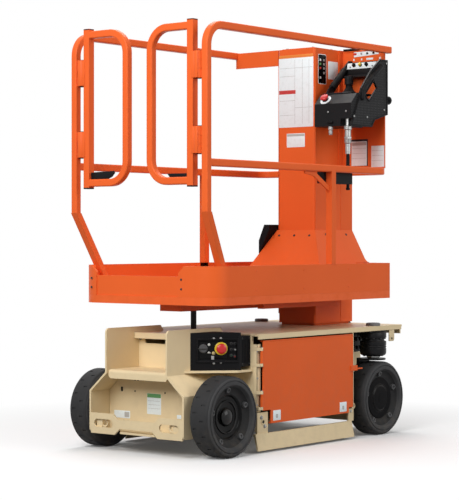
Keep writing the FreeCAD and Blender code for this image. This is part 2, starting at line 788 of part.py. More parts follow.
def mast_stage(name, nest):
    """Sliding box section, nested this many sections inside the outer one."""
    body = new_body(name)
    step = nest * (sheet_gauge + nest_gap)
    half_x = outer_stage_half_x - step
    half_y = outer_stage_half_y - step
    low = stage_low + 12 - 8 * nest
    high = stage_high - 10 * nest
    pad(body, "top", rect((mast_mid_x - half_x, -half_y), (mast_mid_x + half_x, half_y)), low, high)
    wall = sheet_gauge
    cut(body, "top", rect((mast_mid_x - half_x + wall, -half_y + wall),
                          (mast_mid_x + half_x - wall, half_y - wall)), low - 1, high + 1)


def mast_column():
    """Outer section of the mast, which carries the platform, and its front cover."""
    column = new_body("mast_column")
    wall = sheet_gauge
    pad(column, "top", [(mast_rear_x, -mast_half, 10), (mast_seam_x, -mast_half), (mast_seam_x, mast_half),
                        (mast_rear_x, mast_half, 10)], mast_low, mast_high)
    inner = mast_half - wall
    cut(column, "top", [(mast_rear_x + wall, -inner, 5), (mast_seam_x + 1, -inner), (mast_seam_x + 1, inner),
                        (mast_rear_x + wall, inner, 5)], mast_low - 1, mast_high - wall)
    cover = new_body("mast_front_cover")
    pad(cover, "top", rect((mast_seam_x, -mast_half), (mast_front_x, mast_half)), mast_low, mast_high - 4)
    cut(cover, "top", rect((mast_seam_x - 1, -mast_half + wall), (mast_front_x - wall, mast_half - wall)),
        mast_low - 1, mast_high - 4 - wall)


mast_base()
mast_stage("mast_stage_1", 1)
mast_stage("mast_stage_2", 0)
mast_column()

# ---------------------------------------------------------------- platform


def platform_floor():
    """Floor plate with its rim and the beams under it; the mast fills the notch."""
    body = new_body("platform_floor")
    notch = [(plat_front_x, -mast_half), (mast_rear_x, -mast_half), (mast_rear_x, mast_half),
             (plat_front_x, mast_half)]
    outer = [(plat_rear_x, plat_half, plat_corner), (plat_rear_x, -plat_half, plat_corner),
             (plat_front_x, -plat_half, 10)]
    pad(body, "top", outer + notch + [(plat_front_x, plat_half, 10)], floor_low, rim_high)
    inner = [(plat_rear_x + toe_thick, plat_half - toe_thick, plat_corner - toe_thick),
             (plat_rear_x + toe_thick, -plat_half + toe_thick, plat_corner - toe_thick),
             (plat_front_x - toe_thick, -plat_half + toe_thick)]
    inner_notch = [(plat_front_x - toe_thick, -mast_half), (mast_rear_x, -mast_half), (mast_rear_x, mast_half),
                   (plat_front_x - toe_thick, mast_half)]
    cut(body, "top", inner + inner_notch + [(plat_front_x - toe_thick, plat_half - toe_thick)],
        floor_low + floor_thick, rim_high + 1)


def platform_beams():
    """Beams under the platform's floor."""
    body = new_body("platform_beams")
    for low, high in (((-560, -119), (mast_rear_x, -9)), ((-150, -215), (mast_rear_x, -185)),
                      ((-150, 125), (mast_rear_x, 155))):
        pad(body, "top", rect(low, high), floor_low - 29, floor_low)


def toe_board_side(side, end_y):
    """Side toe board, wrapped round the rear corner to its rounded end."""
    body = new_body(f"toe_board_{side_name(side)}")
    outer = plat_half * side
    inner = (plat_half - toe_thick) * side
    pad(body, "top", [(plat_rear_x, end_y), (plat_rear_x, outer, plat_corner), (plat_front_x, outer, 10),
                      (plat_front_x, mast_half * side), (plat_front_x - toe_thick, mast_half * side),
                      (plat_front_x - toe_thick, inner), (plat_rear_x + toe_thick, inner, plat_corner - toe_thick),
                      (plat_rear_x + toe_thick, end_y)], rim_high, toe_high)
    notch_z = toe_high - 28
    cut(body, "end", [(end_y, notch_z), (end_y - side, notch_z), (end_y - side, toe_high + 1),
                      (end_y + 28 * side, toe_high + 1), (end_y + 28 * side, toe_high)],
        plat_rear_x - 1, plat_rear_x + toe_thick + 1)


def toe_board_rear():
    """Lower toe board across the entry."""
    body = new_body("toe_board_rear")
    pad(body, "end", rect((toe_right_end, rim_high), (toe_left_end, toe_rear_high)),
        plat_rear_x + 4, plat_rear_x + toe_thick)


GATE_HINGES = ((1180, 1285), (1470, 1575))


def rail(side, top_end):
    """Side guard rail: rear post, slanting leg, top rail, mid rail round to the mast, and mid post."""
    body = new_body(f"rail_{side_name(side)}")
    line = rail_half * side
    half = tube / 2
    sweep(body, "side", [(post_x, leg_bend_z), (post_x, top_rail_z, rail_bend), (top_end, top_rail_z)],
          line, "top")
    corner_x = plat_front_x - half
    sweep(body, "top", [(post_x, line), (corner_x, line, mid_bend), (corner_x, mast_half * side)],
          mid_rail_z, "end")
    foot = leg_half * side
    loft(body, "top", rect((leg_foot_x - half, foot - half), (leg_foot_x + half, foot + half)),
         floor_low + floor_thick,
         rect((post_x - half, line - half), (post_x + half, line + half)), leg_bend_z)
    pad(body, "top", rect((mid_post_x - half, line - half), (mid_post_x + half, line + half)),
        toe_high, mid_rail_z)
    axis_y = gate_axis_half * side
    for low, high in GATE_HINGES:
        third = (high - low) / 3
        for bottom in (low, high - third):
            hinge_barrel(body, axis_y, (rail_half - half + 1) * side, bottom, bottom + third)
        disc(body, post_x, axis_y, gate_pin_dia / 2, low, high)
    return body


def hinge_barrel(body, axis_y, post_y, low, high):
    """One barrel of a gate hinge, with the leaf that holds it to a post."""
    disc(body, post_x, axis_y, gate_hinge_dia / 2, low, high)
    near, far = ordered(axis_y, post_y)
    pad(body, "top", rect((post_x - 8, near), (post_x + 8, far)), low, high)


def rail_brace(body):
    """Bent flat bar between the right mid rail and its mid post."""
    low = mid_rail_z - tube / 2
    post = mid_post_x - tube / 2
    pad(body, "side", [(post - 174, low + 1), (post - 174, low - 9), (post - 112, low - 19), (post + 1, low - 83),
                       (post + 1, low - 60), (post - 106, low + 1)], -rail_half - 3, -rail_half + 3)


def head_bracket(body):
    """Plate that ties the left top rail to the mast."""
    pad(body, "end", [(mast_half, top_rail_z + 12), (mast_half, top_rail_z - 28), (mast_half + 26, top_rail_z - 58),
                      (rail_half - 4, top_rail_z - 58), (rail_half - 4, top_rail_z + 12)],
        mast_rear_x, mast_rear_x + 6)


def front_panel():
    """Sheet between the mast and the right rail that the controls hang on."""
    body = new_body("front_panel")
    inner = rail_half - tube / 2
    pad(body, "end", rect((-inner, mid_rail_z + tube / 2), (-mast_half, mast_high)),
        plat_front_x - 6, plat_front_x)
    pad(body, "top", rect((plat_front_x - 34, -mast_half - 6), (plat_front_x - 5, -mast_half)),
        mid_rail_z + tube / 2, mast_high)


def mast_skirt():
    """Flared cover where the mast passes through the floor."""
    body = new_body("mast_skirt")
    low = floor_low + floor_thick
    wall = 4

    def ring(spread, inset):
        return rect((mast_rear_x - spread + inset, -mast_half - spread + inset),
                    (plat_front_x - toe_thick - 2 - inset, mast_half + spread - inset))

    loft(body, "top", ring(skirt_flare, 0), low, ring(as_size(wall), 0), skirt_high)
    loft(body, "top", ring(skirt_flare, wall), low - 1, ring(as_size(wall) * 2, wall), skirt_high - wall,
         take_away=True)
    cut(body, "top", rect((mast_rear_x, -mast_half), (plat_front_x, mast_half)), low - 1, skirt_high + 1)


def console():
    """Control console on the front panel: a housing between two side plates, joined by a switch bar."""
    body = new_body("control_console")
    front = plat_front_x - 6
    rear_top = console_top - 5
    chamfer = 43
    right = -console_right
    left = -console_left
    right_inner = right + console_plate
    left_inner = left - console_plate
    pad(body, "side", [(console_rear_x, console_low), (console_rear_x, rear_top - chamfer),
                       (console_rear_x + chamfer, rear_top), (front, console_top), (front, console_low + 28),
                       (console_rear_x + 176, console_low)], right + 4, left)
    pad(body, "side", rect((console_rear_x, console_low - 31), (console_rear_x + 170, console_low + 1)),
        right + 60, left)
    # the housing drops in front of the joystick
    cut(body, "top", [(400, right_inner), (front + 1, right_inner), (front + 1, -205), (540, -205), (400, -320)],
        console_top - 36, console_top + 1)
    right_plate = [(293, 1332), (453, 1335), (476, 1366), (front, 1394), (front, 1634), (519, 1634), (448, 1581),
                   (373, 1500)]
    right_window = [(396, 1470), (430, 1446), (492, 1506), (465, 1539)]
    left_plate = [(376, rear_top - 10), (front, rear_top - 10), (front, 1640), (553, 1640), (392, 1501)]
    left_window = [(424, 1482), (535, 1482), (535, 1560), (505, 1560)]
    pad(body, "side", right_plate, right, right_inner)
    cut(body, "side", right_window, right - 1, right_inner + 1)
    pad(body, "side", left_plate, left_inner, left)
    cut(body, "side", left_window, left_inner - 1, left + 1)
    pad(body, "side", [(front, 1564), (522, 1564), (538, 1630), (front, 1632)], right + 2, left - 2)
    joystick_x = console_rear_x + 140
    for radius, low, high in ((30, rear_top - 4, console_top + 8), (12, console_top + 7, console_top + 45),
                              (19, console_top + 44, console_top + 80)):
        disc(body, joystick_x, -233, radius, low, high)


def console_stop():
    """Stop button on the slanted rear edge of the console."""
    body = new_body("console_stop_button")
    turn(body, "side", [(0, 0), (19, 0), (19, 5), (10, 6), (10, 12), (17, 13), (17, 20), (12, 23), (0, 23)])
    body.Placement.Rotation = FreeCAD.Rotation(FreeCAD.Vector(0, 1, 0), -45)
    place(body, console_rear_x + 18, -console_left - 46, console_top - 30)


def console_cable():
    """Plated fitting under the console, and the black conduit from it to its box on the mid rail."""
    fitting = new_body("console_cable")
    middle = -cable_half
    disc(fitting, cable_x, middle, 9, console_low - 25, console_low)
    disc(fitting, cable_x, middle, 14.5, console_low - 98, console_low - 24)
    disc(fitting, cable_x, middle, 11, console_low - 152, console_low - 97)
    box = new_body("cable_box")
    inner = -(rail_half - tube / 2)
    box_high = mid_rail_z + 4
    box_low = box_high - 66
    pad(box, "top", rect((cable_x - 203, inner), (cable_x + 10, inner + 32)), box_low, box_high)
    disc(box, cable_x, middle, cable_dia / 2, box_high - 1, console_low - 152)
    disc(box, cable_x, middle, cable_dia / 2, box_low - 17, box_low + 1)


def cable_guide():
    """Black boot on the left of the mast, resting over the skirt's slope."""
    body = new_body("cable_guide")
    slope = (skirt_flare - 4) / (skirt_high - floor_low - floor_thick)
    inner = mast_half + 6
    outer = mast_half + 62
    top = skirt_high + 24
    pad(body, "end", [(inner, skirt_high - 1), (outer, skirt_high - (outer - mast_half - 4) / slope + 2),
                      (outer, skirt_high - 46), (inner + 26, top), (inner, top)],
        mast_rear_x - 62, mast_rear_x + 50)


platform_floor()
platform_beams()
toe_board_side(1, toe_left_end)
toe_board_side(-1, toe_right_end)
toe_board_rear()
rail_brace(rail(-1, right_rail_end))
head_bracket(rail(1, left_rail_end))
front_panel()
mast_skirt()
console()
console_stop()
console_cable()
cable_guide()

# ---------------------------------------------------------------- gates


def gate(side):
    """Swing gate: an upright with a rounded loop towards the middle of the entry."""
    body = new_body(f"gate_{side_name(side)}")
    post = gate_post_half * side
    inner = gate_inner_y * side if side > 0 else -(gate_inner_y - 1)
    sweep(body, "end", [(post, gate_top_z), (inner, gate_top_z, gate_bend), (inner, gate_bottom_z, gate_bend),
                        (post, gate_bottom_z)], post_x, "side")
    half = tube / 2
    pad(body, "top", rect((post_x - half, post - half), (post_x + half, post + half)), gate_low, gate_high)
    axis_y = gate_axis_half * side
    for low, high in GATE_HINGES:
        third = (high - low) / 3
        hinge_barrel(body, axis_y, (gate_post_half + half - 1) * side, low + third + 0.5, high - third - 0.5)
        bore(body, post_x, axis_y, gate_pin_dia / 2 + running_gap, low + third + 0.5, high - third - 0.5)


for side in (1, -1):
    gate(side)

# ---------------------------------------------------------------- check and write
doc.recompute()
for thing in doc.Objects:
    if "Invalid" in thing.State or "Error" in thing.State:
        raise ValueError(f"{thing.Name} of {doc.Name} did not build: {thing.State}")
for body in made:
    if body.Shape.isNull() or not body.Shape.isValid() or not body.Shape.Solids:
        raise ValueError(f"{body.Label} has no sound solid")
for body in made:
    body.Shape.exportStep(f"parts/{body.Label}.step")
print(len(made), "sub-parts written")
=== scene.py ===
import json
import math
from itertools import product

import bmesh
import bpy
from mathutils import Matrix, Vector


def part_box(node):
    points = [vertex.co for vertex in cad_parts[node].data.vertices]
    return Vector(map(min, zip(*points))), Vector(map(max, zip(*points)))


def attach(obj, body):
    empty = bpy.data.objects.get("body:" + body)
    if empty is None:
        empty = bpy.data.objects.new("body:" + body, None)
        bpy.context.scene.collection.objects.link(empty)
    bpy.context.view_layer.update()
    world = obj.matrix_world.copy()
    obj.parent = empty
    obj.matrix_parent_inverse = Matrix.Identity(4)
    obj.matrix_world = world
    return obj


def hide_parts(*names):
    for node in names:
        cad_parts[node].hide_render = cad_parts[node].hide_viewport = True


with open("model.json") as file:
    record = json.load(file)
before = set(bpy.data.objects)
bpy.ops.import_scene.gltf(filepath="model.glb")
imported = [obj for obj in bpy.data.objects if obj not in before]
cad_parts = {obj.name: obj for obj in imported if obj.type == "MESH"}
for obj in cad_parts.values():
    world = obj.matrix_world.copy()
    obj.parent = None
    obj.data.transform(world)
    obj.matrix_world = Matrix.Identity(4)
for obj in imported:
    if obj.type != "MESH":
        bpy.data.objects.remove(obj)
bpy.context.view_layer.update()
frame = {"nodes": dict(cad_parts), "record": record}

bl_info = {
    "name": "Vertical mast lift",
    "version": (1, 0, 0),
    "blender": (4, 5, 0),
    "location": "View3D > Sidebar > Lift",
    "description": "Finishes and fine parts of a self-propelled vertical mast lift",
    "category": "Object",
}

# -------- sizes and colours
UNITS = {"DISTANCE": "LENGTH", "POWER": "POWER", "ANGLE": "ROTATION"}


def colour_prop(name, words, default):
    return bpy.props.FloatVectorProperty(name=name, description=words, default=default, size=3,
                                         subtype="COLOR", min=0, max=1)


def number_prop(name, words, default, subtype="NONE"):
    return bpy.props.FloatProperty(name=name, description=words, default=default, subtype=subtype,
                                   unit=UNITS.get(subtype, "NONE"))


class LiftPaint(bpy.types.PropertyGroup):
    """Colours and wear of the lift's finishes."""
    orange: colour_prop("Orange", "Powder coat of the platform, mast and doors", (0.82, 0.130, 0.026))
    beige: colour_prop("Beige", "Powder coat of the chassis", (0.80, 0.645, 0.40))
    black: colour_prop("Black", "Moulded plastic of the controls", (0.006, 0.006, 0.007))
    steel: colour_prop("Black steel", "Satin paint of the axles and hubs", (0.008, 0.008, 0.009))
    zinc: colour_prop("Zinc", "Plated motors, bolts and fittings", (0.33, 0.33, 0.325))
    rubber: colour_prop("Rubber", "Solid tyres", (0.034, 0.034, 0.035))
    red: colour_prop("Red", "Stop buttons", (0.55, 0.012, 0.012))
    yellow: colour_prop("Yellow", "Rings of the stop buttons", (0.80, 0.56, 0.02))
    dirt: colour_prop("Dirt", "Dust that settles low down and in corners", (0.23, 0.18, 0.13))
    wear: bpy.props.FloatProperty(name="Wear", description="How worn and dusty the lift looks", default=0.25,
                                  subtype="FACTOR", min=0, max=1)


class LiftWheel(bpy.types.PropertyGroup):
    """Sizes of the solid tyres."""
    tyre_radius: number_prop("Tyre radius", "Radius of the tread", 0.159, "DISTANCE")
    bosses: bpy.props.IntProperty(name="Bosses", description="Moulded bosses on the dished side", default=5,
                                  min=3, max=8)


class LiftStudio(bpy.types.PropertyGroup):
    """Camera, lamps and floor."""
    camera_place: bpy.props.FloatVectorProperty(name="Camera", description="Where the camera stands", size=3,
                                                default=(-5.843, -4.572, 0.861), subtype="TRANSLATION",
                                                unit="LENGTH")
    camera_heading: number_prop("Heading", "Turn of the level camera from looking along +Y",
                                math.atan2(-0.7756, 0.6312), "ANGLE")
    lens: number_prop("Lens", "Focal length in millimetres", 125.7)
    shift: bpy.props.FloatVectorProperty(name="Shift", description="Lens shift across and up", size=2,
                                         default=(0.0366, -0.0268))
    floor_half: number_prop("Floor", "Half the width of the floor", 40.0, "DISTANCE")
    floor_colour: colour_prop("Floor colour", "Pale floor as it is seen", (0.90, 0.90, 0.90))
    floor_bounce: colour_prop("Floor bounce", "How much light the floor sends back to the lift", (0.22, 0.22, 0.22))
    ambient: number_prop("Ambient", "Light from the white room all round", 0.24)
    key: number_prop("Key", "Power of the large lamp to the camera's left", 221.0, "POWER")
    fill: number_prop("Fill", "Power of the large lamp on the lift's right side", 107.0, "POWER")
    top: number_prop("Top", "Power of the large lamp overhead", 85.0, "POWER")


# -------- shader maths


class Value:
    """A socket of a finish; using it in an expression adds the Math nodes."""

    def __init__(self, finish, socket):
        self.finish = finish
        self.socket = socket

    def math(self, operation, *others):
        sockets = {"Value": self, **{f"Value_{i + 1:03d}": other for i, other in enumerate(others)}}
        return self.finish.node("ShaderNodeMath", {"operation": operation}, sockets)

    def __add__(self, other):
        return self.math("ADD", other)

    def __mul__(self, other):
        return self.math("MULTIPLY", other)

    def __sub__(self, other):
        return self.math("SUBTRACT", other)

    def __rsub__(self, other):
        return self.finish.node("ShaderNodeMath", {"operation": "SUBTRACT"}, {"Value": other, "Value_001": self})

    def __gt__(self, other):
        return self.math("GREATER_THAN", other)

    __radd__ = __add__
    __rmul__ = __mul__

    def clamped(self):
        return self.math("MINIMUM", 1.0).math("MAXIMUM", 0.0)


class Finish:
    """The node tree of one material or of the world."""

    def __init__(self, owner):
        owner.use_nodes = True
        self.owner = owner
        self.tree = owner.node_tree
        self.tree.nodes.clear()

    def node(self, kind, settings=None, sockets=None, output=0):
        """Add a node: its settings first, then its sockets' values or links; gives one output."""
        node = self.tree.nodes.new(kind)
        settings = dict(settings or {})
        # a new colour ramp has two stops, and so has every ramp here
        for i, (position, grey) in enumerate(settings.pop("stops", ())):
            node.color_ramp.elements[i].position = position
            node.color_ramp.elements[i].color = (grey, grey, grey, 1)
        for name, value in settings.items():
            setattr(node, name, value)
        for name, value in (sockets or {}).items():
            socket = next(s for s in node.inputs if name in (s.identifier, s.name) and s.enabled)
            if isinstance(value, Value):
                self.tree.links.new(value.socket, socket)
            elif hasattr(socket.default_value, "__len__") and len(value) == 3 and len(socket.default_value) == 4:
                socket.default_value = (*value, 1)
            else:
                socket.default_value = value
        return Value(self, node.outputs[output]) if node.outputs else node

    def mix(self, factor, one, other):
        """Blend two colours; other wins where the factor is 1."""
        return self.node("ShaderNodeMix", {"data_type": "RGBA"},
                         {"Factor_Float": factor, "A_Color": one, "B_Color": other}, "Result")

    def place(self, axis=None):
        """The point on the object in metres, or one of its coordinates."""
        return self.part_of(self.node("ShaderNodeTexCoord", output="Object"), axis)

    def part_of(self, vector, axis):
        """One coordinate of a vector, or the vector itself when no axis is given."""
        return self.node("ShaderNodeSeparateXYZ", {}, {"Vector": vector}, axis) if axis else vector

    def facing(self, axis=None):
        """Which way the surface faces, or one coordinate of that."""
        return self.part_of(self.node("ShaderNodeNewGeometry", output="Normal"), axis)

    def upward(self):
        """1 on faces that look straight up."""
        return self.facing("Z").math("MAXIMUM", 0.0)

    def noise(self, scale, detail=2.0, stretch=None, rough=0.5):
        point = self.place()
        if stretch:
            point = self.node("ShaderNodeMapping", {"vector_type": "POINT"}, {"Vector": point, "Scale": stretch})
        return self.node("ShaderNodeTexNoise", {"noise_dimensions": "3D"},
                         {"Vector": point, "Scale": scale, "Detail": detail, "Roughness": rough})

    def ramp(self, value, *stops):
        """A smooth step between two greys over a value from 0 to 1."""
        return self.node("ShaderNodeValToRGB", {"stops": stops}, {"Fac": value})

    def patches(self, noise, low, high):
        """0 where a noise is under the low level, 1 where it is over the high one."""
        return self.ramp(noise, (low, 0.0), (high, 1.0))

    def diamonds(self, across, up, pitch):
        """A grid of raised diamonds over two coordinates."""
        turns = math.pi / pitch
        waves = ((across + up) * turns).math("SINE") * ((across - up) * turns).math("SINE")
        return self.ramp(waves, (0.25, 0.0), (0.6, 1.0))

    def settled(self, share):
        """Patches of dust on faces that look up."""
        return (self.upward() * self.patches(self.noise(30.0, 4.0), 0.4, 0.75) * share).clamped()

    def eased(self, radius):
        """The normal with its sharp edges eased."""
        return self.node("ShaderNodeBevel", {"samples": 4}, {"Radius": radius})

    def edges(self, eased):
        """A mask of the edges that an eased normal rounds."""
        along = self.node("ShaderNodeVectorMath", {"operation": "DOT_PRODUCT"},
                          {"Vector": eased, "Vector_001": self.facing()}, "Value")
        return ((1.0 - along) * 6.0).clamped()

    def surface(self, base, rough, bump, shine=0.5, metal=0.0):
        """The material: bump is its height, distance, strength and, if it has one, eased normal."""
        sockets = dict(zip(("Height", "Distance", "Strength", "Normal"), bump))
        shader = self.node("ShaderNodeBsdfPrincipled", {}, {
            "Base Color": base, "Roughness": rough, "Specular IOR Level": shine, "Metallic": metal,
            "Normal": self.node("ShaderNodeBump", {}, sockets)})
        self.node("ShaderNodeOutputMaterial", {}, {"Surface": shader})
        return self.owner


def new_finish(name):
    return Finish(bpy.data.materials.new(name))


def tinted(colour, times, plus=0.0):
    """A colour made darker or lighter, and paler."""
    return [c * times + plus for c in colour]


def powder_coat(name, colour, paint):
    """Semi-gloss powder coat: orange peel, uneven tone, dust low down and worn edges."""
    finish = new_finish(name)
    eased = finish.eased(0.0016)
    base = finish.mix(finish.patches(finish.noise(3.0, 4.0), 0.35, 0.7) * 0.6, colour, tinted(colour, 0.9))
    # dust thins out from the floor upwards and lies on flat tops
    low = finish.ramp(finish.place("Z"), (0.0, 1.0), (0.55, 0.0))
    patches = finish.patches(finish.noise(26.0, 5.0, rough=0.62), 0.44, 0.72)
    dust = ((low * 0.5 + finish.upward() * 0.35) * patches * paint.wear * 0.9).clamped()
    base = finish.mix(dust, base, paint.dirt)
    chips = finish.patches(finish.noise(160.0, 3.0), 0.52, 0.6)
    worn = (finish.edges(eased) * chips * paint.wear * 1.2).clamped()
    base = finish.mix(worn, base, tinted(colour, 0.45, 0.12))
    rough = finish.noise(9.0, 3.0) * 0.12 + dust * 0.35 + 0.32
    return finish.surface(base, rough, (finish.noise(420.0, 1.0), 0.00012, 0.5, eased), 0.12)


def moulded(name, colour, paint, grain=900.0, rough=0.46, shine=0.08):
    """Moulded plastic with a fine grain, scuffs, settled dust and a painted highlight along its edges."""
    finish = new_finish(name)
    eased = finish.eased(0.002)
    scuffs = finish.patches(finish.noise(60.0, 4.0, (1.0, 1.0, 5.0)), 0.58, 0.75)
    dust = finish.settled(0.5 * paint.wear)
    base = finish.mix(scuffs * 0.25, colour, tinted(colour, 1.6, 0.004))
    base = finish.mix(dust, base, paint.dirt)
    # painted highlight: the eased edges are made lighter
    base = finish.mix(finish.edges(eased) * 0.2, base, tinted(colour, 1, 0.05))
    return finish.surface(base, scuffs * 0.12 + dust * 0.3 + rough,
                          (finish.noise(grain, 2.0), 0.0002, 0.45, eased), shine)


def knurled(name, colour, paint):
    """Black moulding whose sides carry a fine diamond grip, with a painted highlight along its edges."""
    finish = new_finish(name)
    eased = finish.eased(0.002)
    sideways = finish.facing("Y").math("ABSOLUTE") > 0.9
    grip = finish.diamonds(finish.place("X"), finish.place("Z"), 0.011) * sideways
    base = finish.mix(grip * 0.5, colour, tinted(colour, 1, 0.006))
    # painted highlight: the eased edges are made lighter
    base = finish.mix(finish.edges(eased) * 0.2, base, tinted(colour, 1, 0.05))
    dust = finish.settled(0.4 * paint.wear)
    base = finish.mix(dust, base, paint.dirt)
    return finish.surface(base, grip * -0.1 + dust * 0.3 + 0.42,
                          (grip + finish.noise(800.0, 2.0) * 0.15, 0.0012, 0.8, eased), 0.13)


def tread_plate(name, colour, paint):
    """Powder-coated tread plate, scuffed on its raised diamonds."""
    finish = new_finish(name)
    grid = finish.diamonds(finish.place("X"), finish.place("Y"), 0.032) * finish.upward()
    scuff = finish.patches(finish.noise(18.0, 5.0, rough=0.6), 0.45, 0.7)
    base = finish.mix(scuff * 0.35, colour, tinted(colour, 0.8))
    base = finish.mix((grid * scuff * paint.wear * 1.6).clamped(), base, tinted(colour, 0.5, 0.1))
    base = finish.mix((scuff * finish.upward() * paint.wear * 0.5).clamped(), base, paint.dirt)
    return finish.surface(base, scuff * 0.2 + 0.36, (grid, 0.002, 0.7), 0.2)


def plated(name, colour, paint):
    """Dull zinc plate with a light brushed grain and specks of rust."""
    finish = new_finish(name)
    cloud = finish.noise(45.0, 4.0)
    base = finish.mix(finish.patches(cloud, 0.35, 0.7) * 0.5, colour, tinted(colour, 0.62))
    rust = finish.patches(finish.noise(110.0, 5.0), 0.62, 0.72) * paint.wear
    base = finish.mix(rust, base, (0.16, 0.075, 0.03))
    grain = finish.noise(700.0, 2.0, (1.0, 1.0, 0.1))
    return finish.surface(base, cloud * 0.2 + rust * 0.4 + 0.28, (grain, 0.0001, 0.3, finish.eased(0.0008)),
                          metal=1.0 - rust)


def rubber(name, colour, paint):
    """Worn solid rubber with dust in its low places."""
    finish = new_finish(name)
    cloud = finish.noise(14.0, 5.0)
    base = finish.mix(finish.patches(cloud, 0.3, 0.75) * 0.6, colour, tinted(colour, 1.5, 0.006))
    low = finish.ramp(finish.place("Z"), (0.0, 1.0), (0.16, 0.0))
    dust = (low * finish.patches(finish.noise(35.0, 5.0), 0.4, 0.7) * paint.wear).clamped()
    base = finish.mix(dust * 0.8, base, paint.dirt)
    return finish.surface(base, cloud * 0.15 + 0.58, (finish.noise(500.0, 3.0), 0.0003, 0.5), 0.16)


def gloss_plastic(name, colour, paint):
    """Bright moulded button plastic with fine scratches."""
    finish = new_finish(name)
    scratches = finish.patches(finish.noise(90.0, 4.0, (1.0, 6.0, 1.0)), 0.55, 0.7)
    base = finish.mix(scratches * 0.3, colour, tinted(colour, 0.7, 0.02))
    return finish.surface(base, scratches * 0.25 + 0.28, (finish.noise(300.0, 2.0), 0.0001, 0.3))


def printed(name, colour, paint):
    """A blank plate or band: even colour, a little uneven gloss and grime."""
    finish = new_finish(name)
    cloud = finish.noise(24.0, 4.0)
    base = finish.mix(finish.patches(cloud, 0.3, 0.7) * 0.3, colour, tinted(colour, 0.93))
    grime = finish.patches(finish.noise(75.0, 5.0, rough=0.6), 0.5, 0.8)
    base = finish.mix((grime * paint.wear * 0.5).clamped(), base, paint.dirt)
    return finish.surface(base, cloud * 0.14 + 0.34, (finish.noise(260.0, 2.0), 0.00005, 0.3))


FINISH = {}
PLATE_COLOURS = {
    "white_plate": (0.86, 0.94, 0.96),
    "amber_band": (0.80, 0.23, 0.03),
    "red_band": (0.55, 0.03, 0.025),
    "grey_line": (0.30, 0.30, 0.29),
    "grey_band": (0.48, 0.48, 0.46),
    "leaf_green": (0.10, 0.32, 0.10),
    "pale_mark": (0.62, 0.62, 0.58),
}
# Mouldings and paints of the trim: colour, grain, roughness and shine.
TRIM_COLOURS = {
    "gloss_black": ((0.0022, 0.0022, 0.0026), 300.0, 0.15, 0.10),
    "flat_black": ((0.009, 0.009, 0.0095), 300.0, 0.6, 0.03),
    "soft_black": ((0.008, 0.008, 0.009), 500.0, 0.5),
    "cap_grey": ((0.17, 0.17, 0.175), 500.0, 0.36),
    "dark_grey": ((0.045, 0.045, 0.046), 700.0, 0.42),
    "key_grey": ((0.085, 0.085, 0.088), 700.0, 0.38),
    "light_grey": ((0.38, 0.38, 0.37), 700.0, 0.42),
    "polished_black": ((0.006, 0.006, 0.0065), 300.0, 0.12, 0.24),
    # lighter rubber of the tyres' bosses: a painted highlight on them, with more shine
    "worn_rubber": ((0.060, 0.060, 0.062), 500.0, 0.4, 0.3),
    "dark_green": ((0.012, 0.06, 0.03), 700.0, 0.38),
    "dull_red": ((0.20, 0.015, 0.012), 700.0, 0.40),
    "lamp_lens": ((0.50, 0.42, 0.20), 900.0, 0.12, 0.5),
}


def make_finishes(paint):
    for name, colour in PLATE_COLOURS.items():
        FINISH[name] = printed(name, colour, paint)
    for name, (colour, *looks) in TRIM_COLOURS.items():
        FINISH[name] = moulded(name, colour, paint, *looks)
    for slot, make, name, colour, *looks in (
            ("orange_paint", powder_coat, "orange_powder_coat", paint.orange),
            ("beige_paint", powder_coat, "beige_powder_coat", paint.beige),
            ("mast_grey", powder_coat, "mast_powder_coat", paint.orange),
            ("black_plastic", moulded, "black_moulding", paint.black),
            ("black_steel", moulded, "satin_black_paint", paint.steel, 300.0, 0.34, 0.12),
            ("zinc_plate", plated, "zinc_plating", paint.zinc),
            ("tyre", rubber, "tyre_rubber", paint.rubber),
            # the dish's rubber is darker: painted shade in the tyre's dished recess
            ("tyre_dish", rubber, "tyre_dish_rubber", tinted(paint.rubber, 0.42)),
            ("tyre_side", rubber, "tyre_side_rubber", tinted(paint.rubber, 1.25)),
            ("tyre_tread", rubber, "tyre_tread_rubber", tinted(paint.rubber, 0.7)),
            ("knurled_black", knurled, "knurled_moulding", paint.black),
            ("tread_plate", tread_plate, "orange_tread_plate", paint.orange),
            ("red_plastic", gloss_plastic, "red_button", paint.red),
            ("yellow_plastic", gloss_plastic, "yellow_ring", paint.yellow)):
        FINISH[slot] = make(name, colour, paint, *looks)


# Solids whose finish is a kind of their slot's own.
NODE_FINISH = {"control_console": "knurled_black", "platform_floor": "tread_plate"}


class LIFT_OT_finishes(bpy.types.Operator):
    """Make every finish and give it to the solids of the frame"""
    bl_idname = "lift.finishes"
    bl_label = "Finishes"

    def execute(self, context):
        make_finishes(context.scene.lift_paint)
        for row in frame["record"]["subparts"]:
            solid = frame["nodes"][row["node"]]
            solid.data.materials.clear()
            solid.data.materials.append(FINISH[NODE_FINISH.get(row["node"], row["material_slot"])])
        return {"FINISHED"}


# -------- stage
# The floor is shaded near the lift and fades to plain white further out, in metres.
SHADED_WITHIN = 0.75
FADE = 0.85
FLOOR_GLOW = 0.05  # share of its own light that the shaded floor has
# Each lamp: where it stands, the height that it aims at and its width, in metres.
LAMPS = {
    "key": ((-4.2, -0.6, 3.4), 0.8, 3.2),
    "fill": ((0.8, -4.6, 2.6), 0.8, 3.2),
    "top": ((1.3, 1.2, 4.3), 0.6, 2.4),
}


def seen_plainly(finish):
    """1 for rays from the camera, from mirrors and through glass."""
    camera, gloss, glass = (finish.node("ShaderNodeLightPath", output=f"Is {kind} Ray")
                            for kind in ("Camera", "Glossy", "Transmission"))
    return camera.math("MAXIMUM", gloss).math("MAXIMUM", glass)


def put_in_scene(name, data):
    """A new object in the scene."""
    made = bpy.data.objects.new(name, data)
    bpy.context.scene.collection.objects.link(made)
    return made


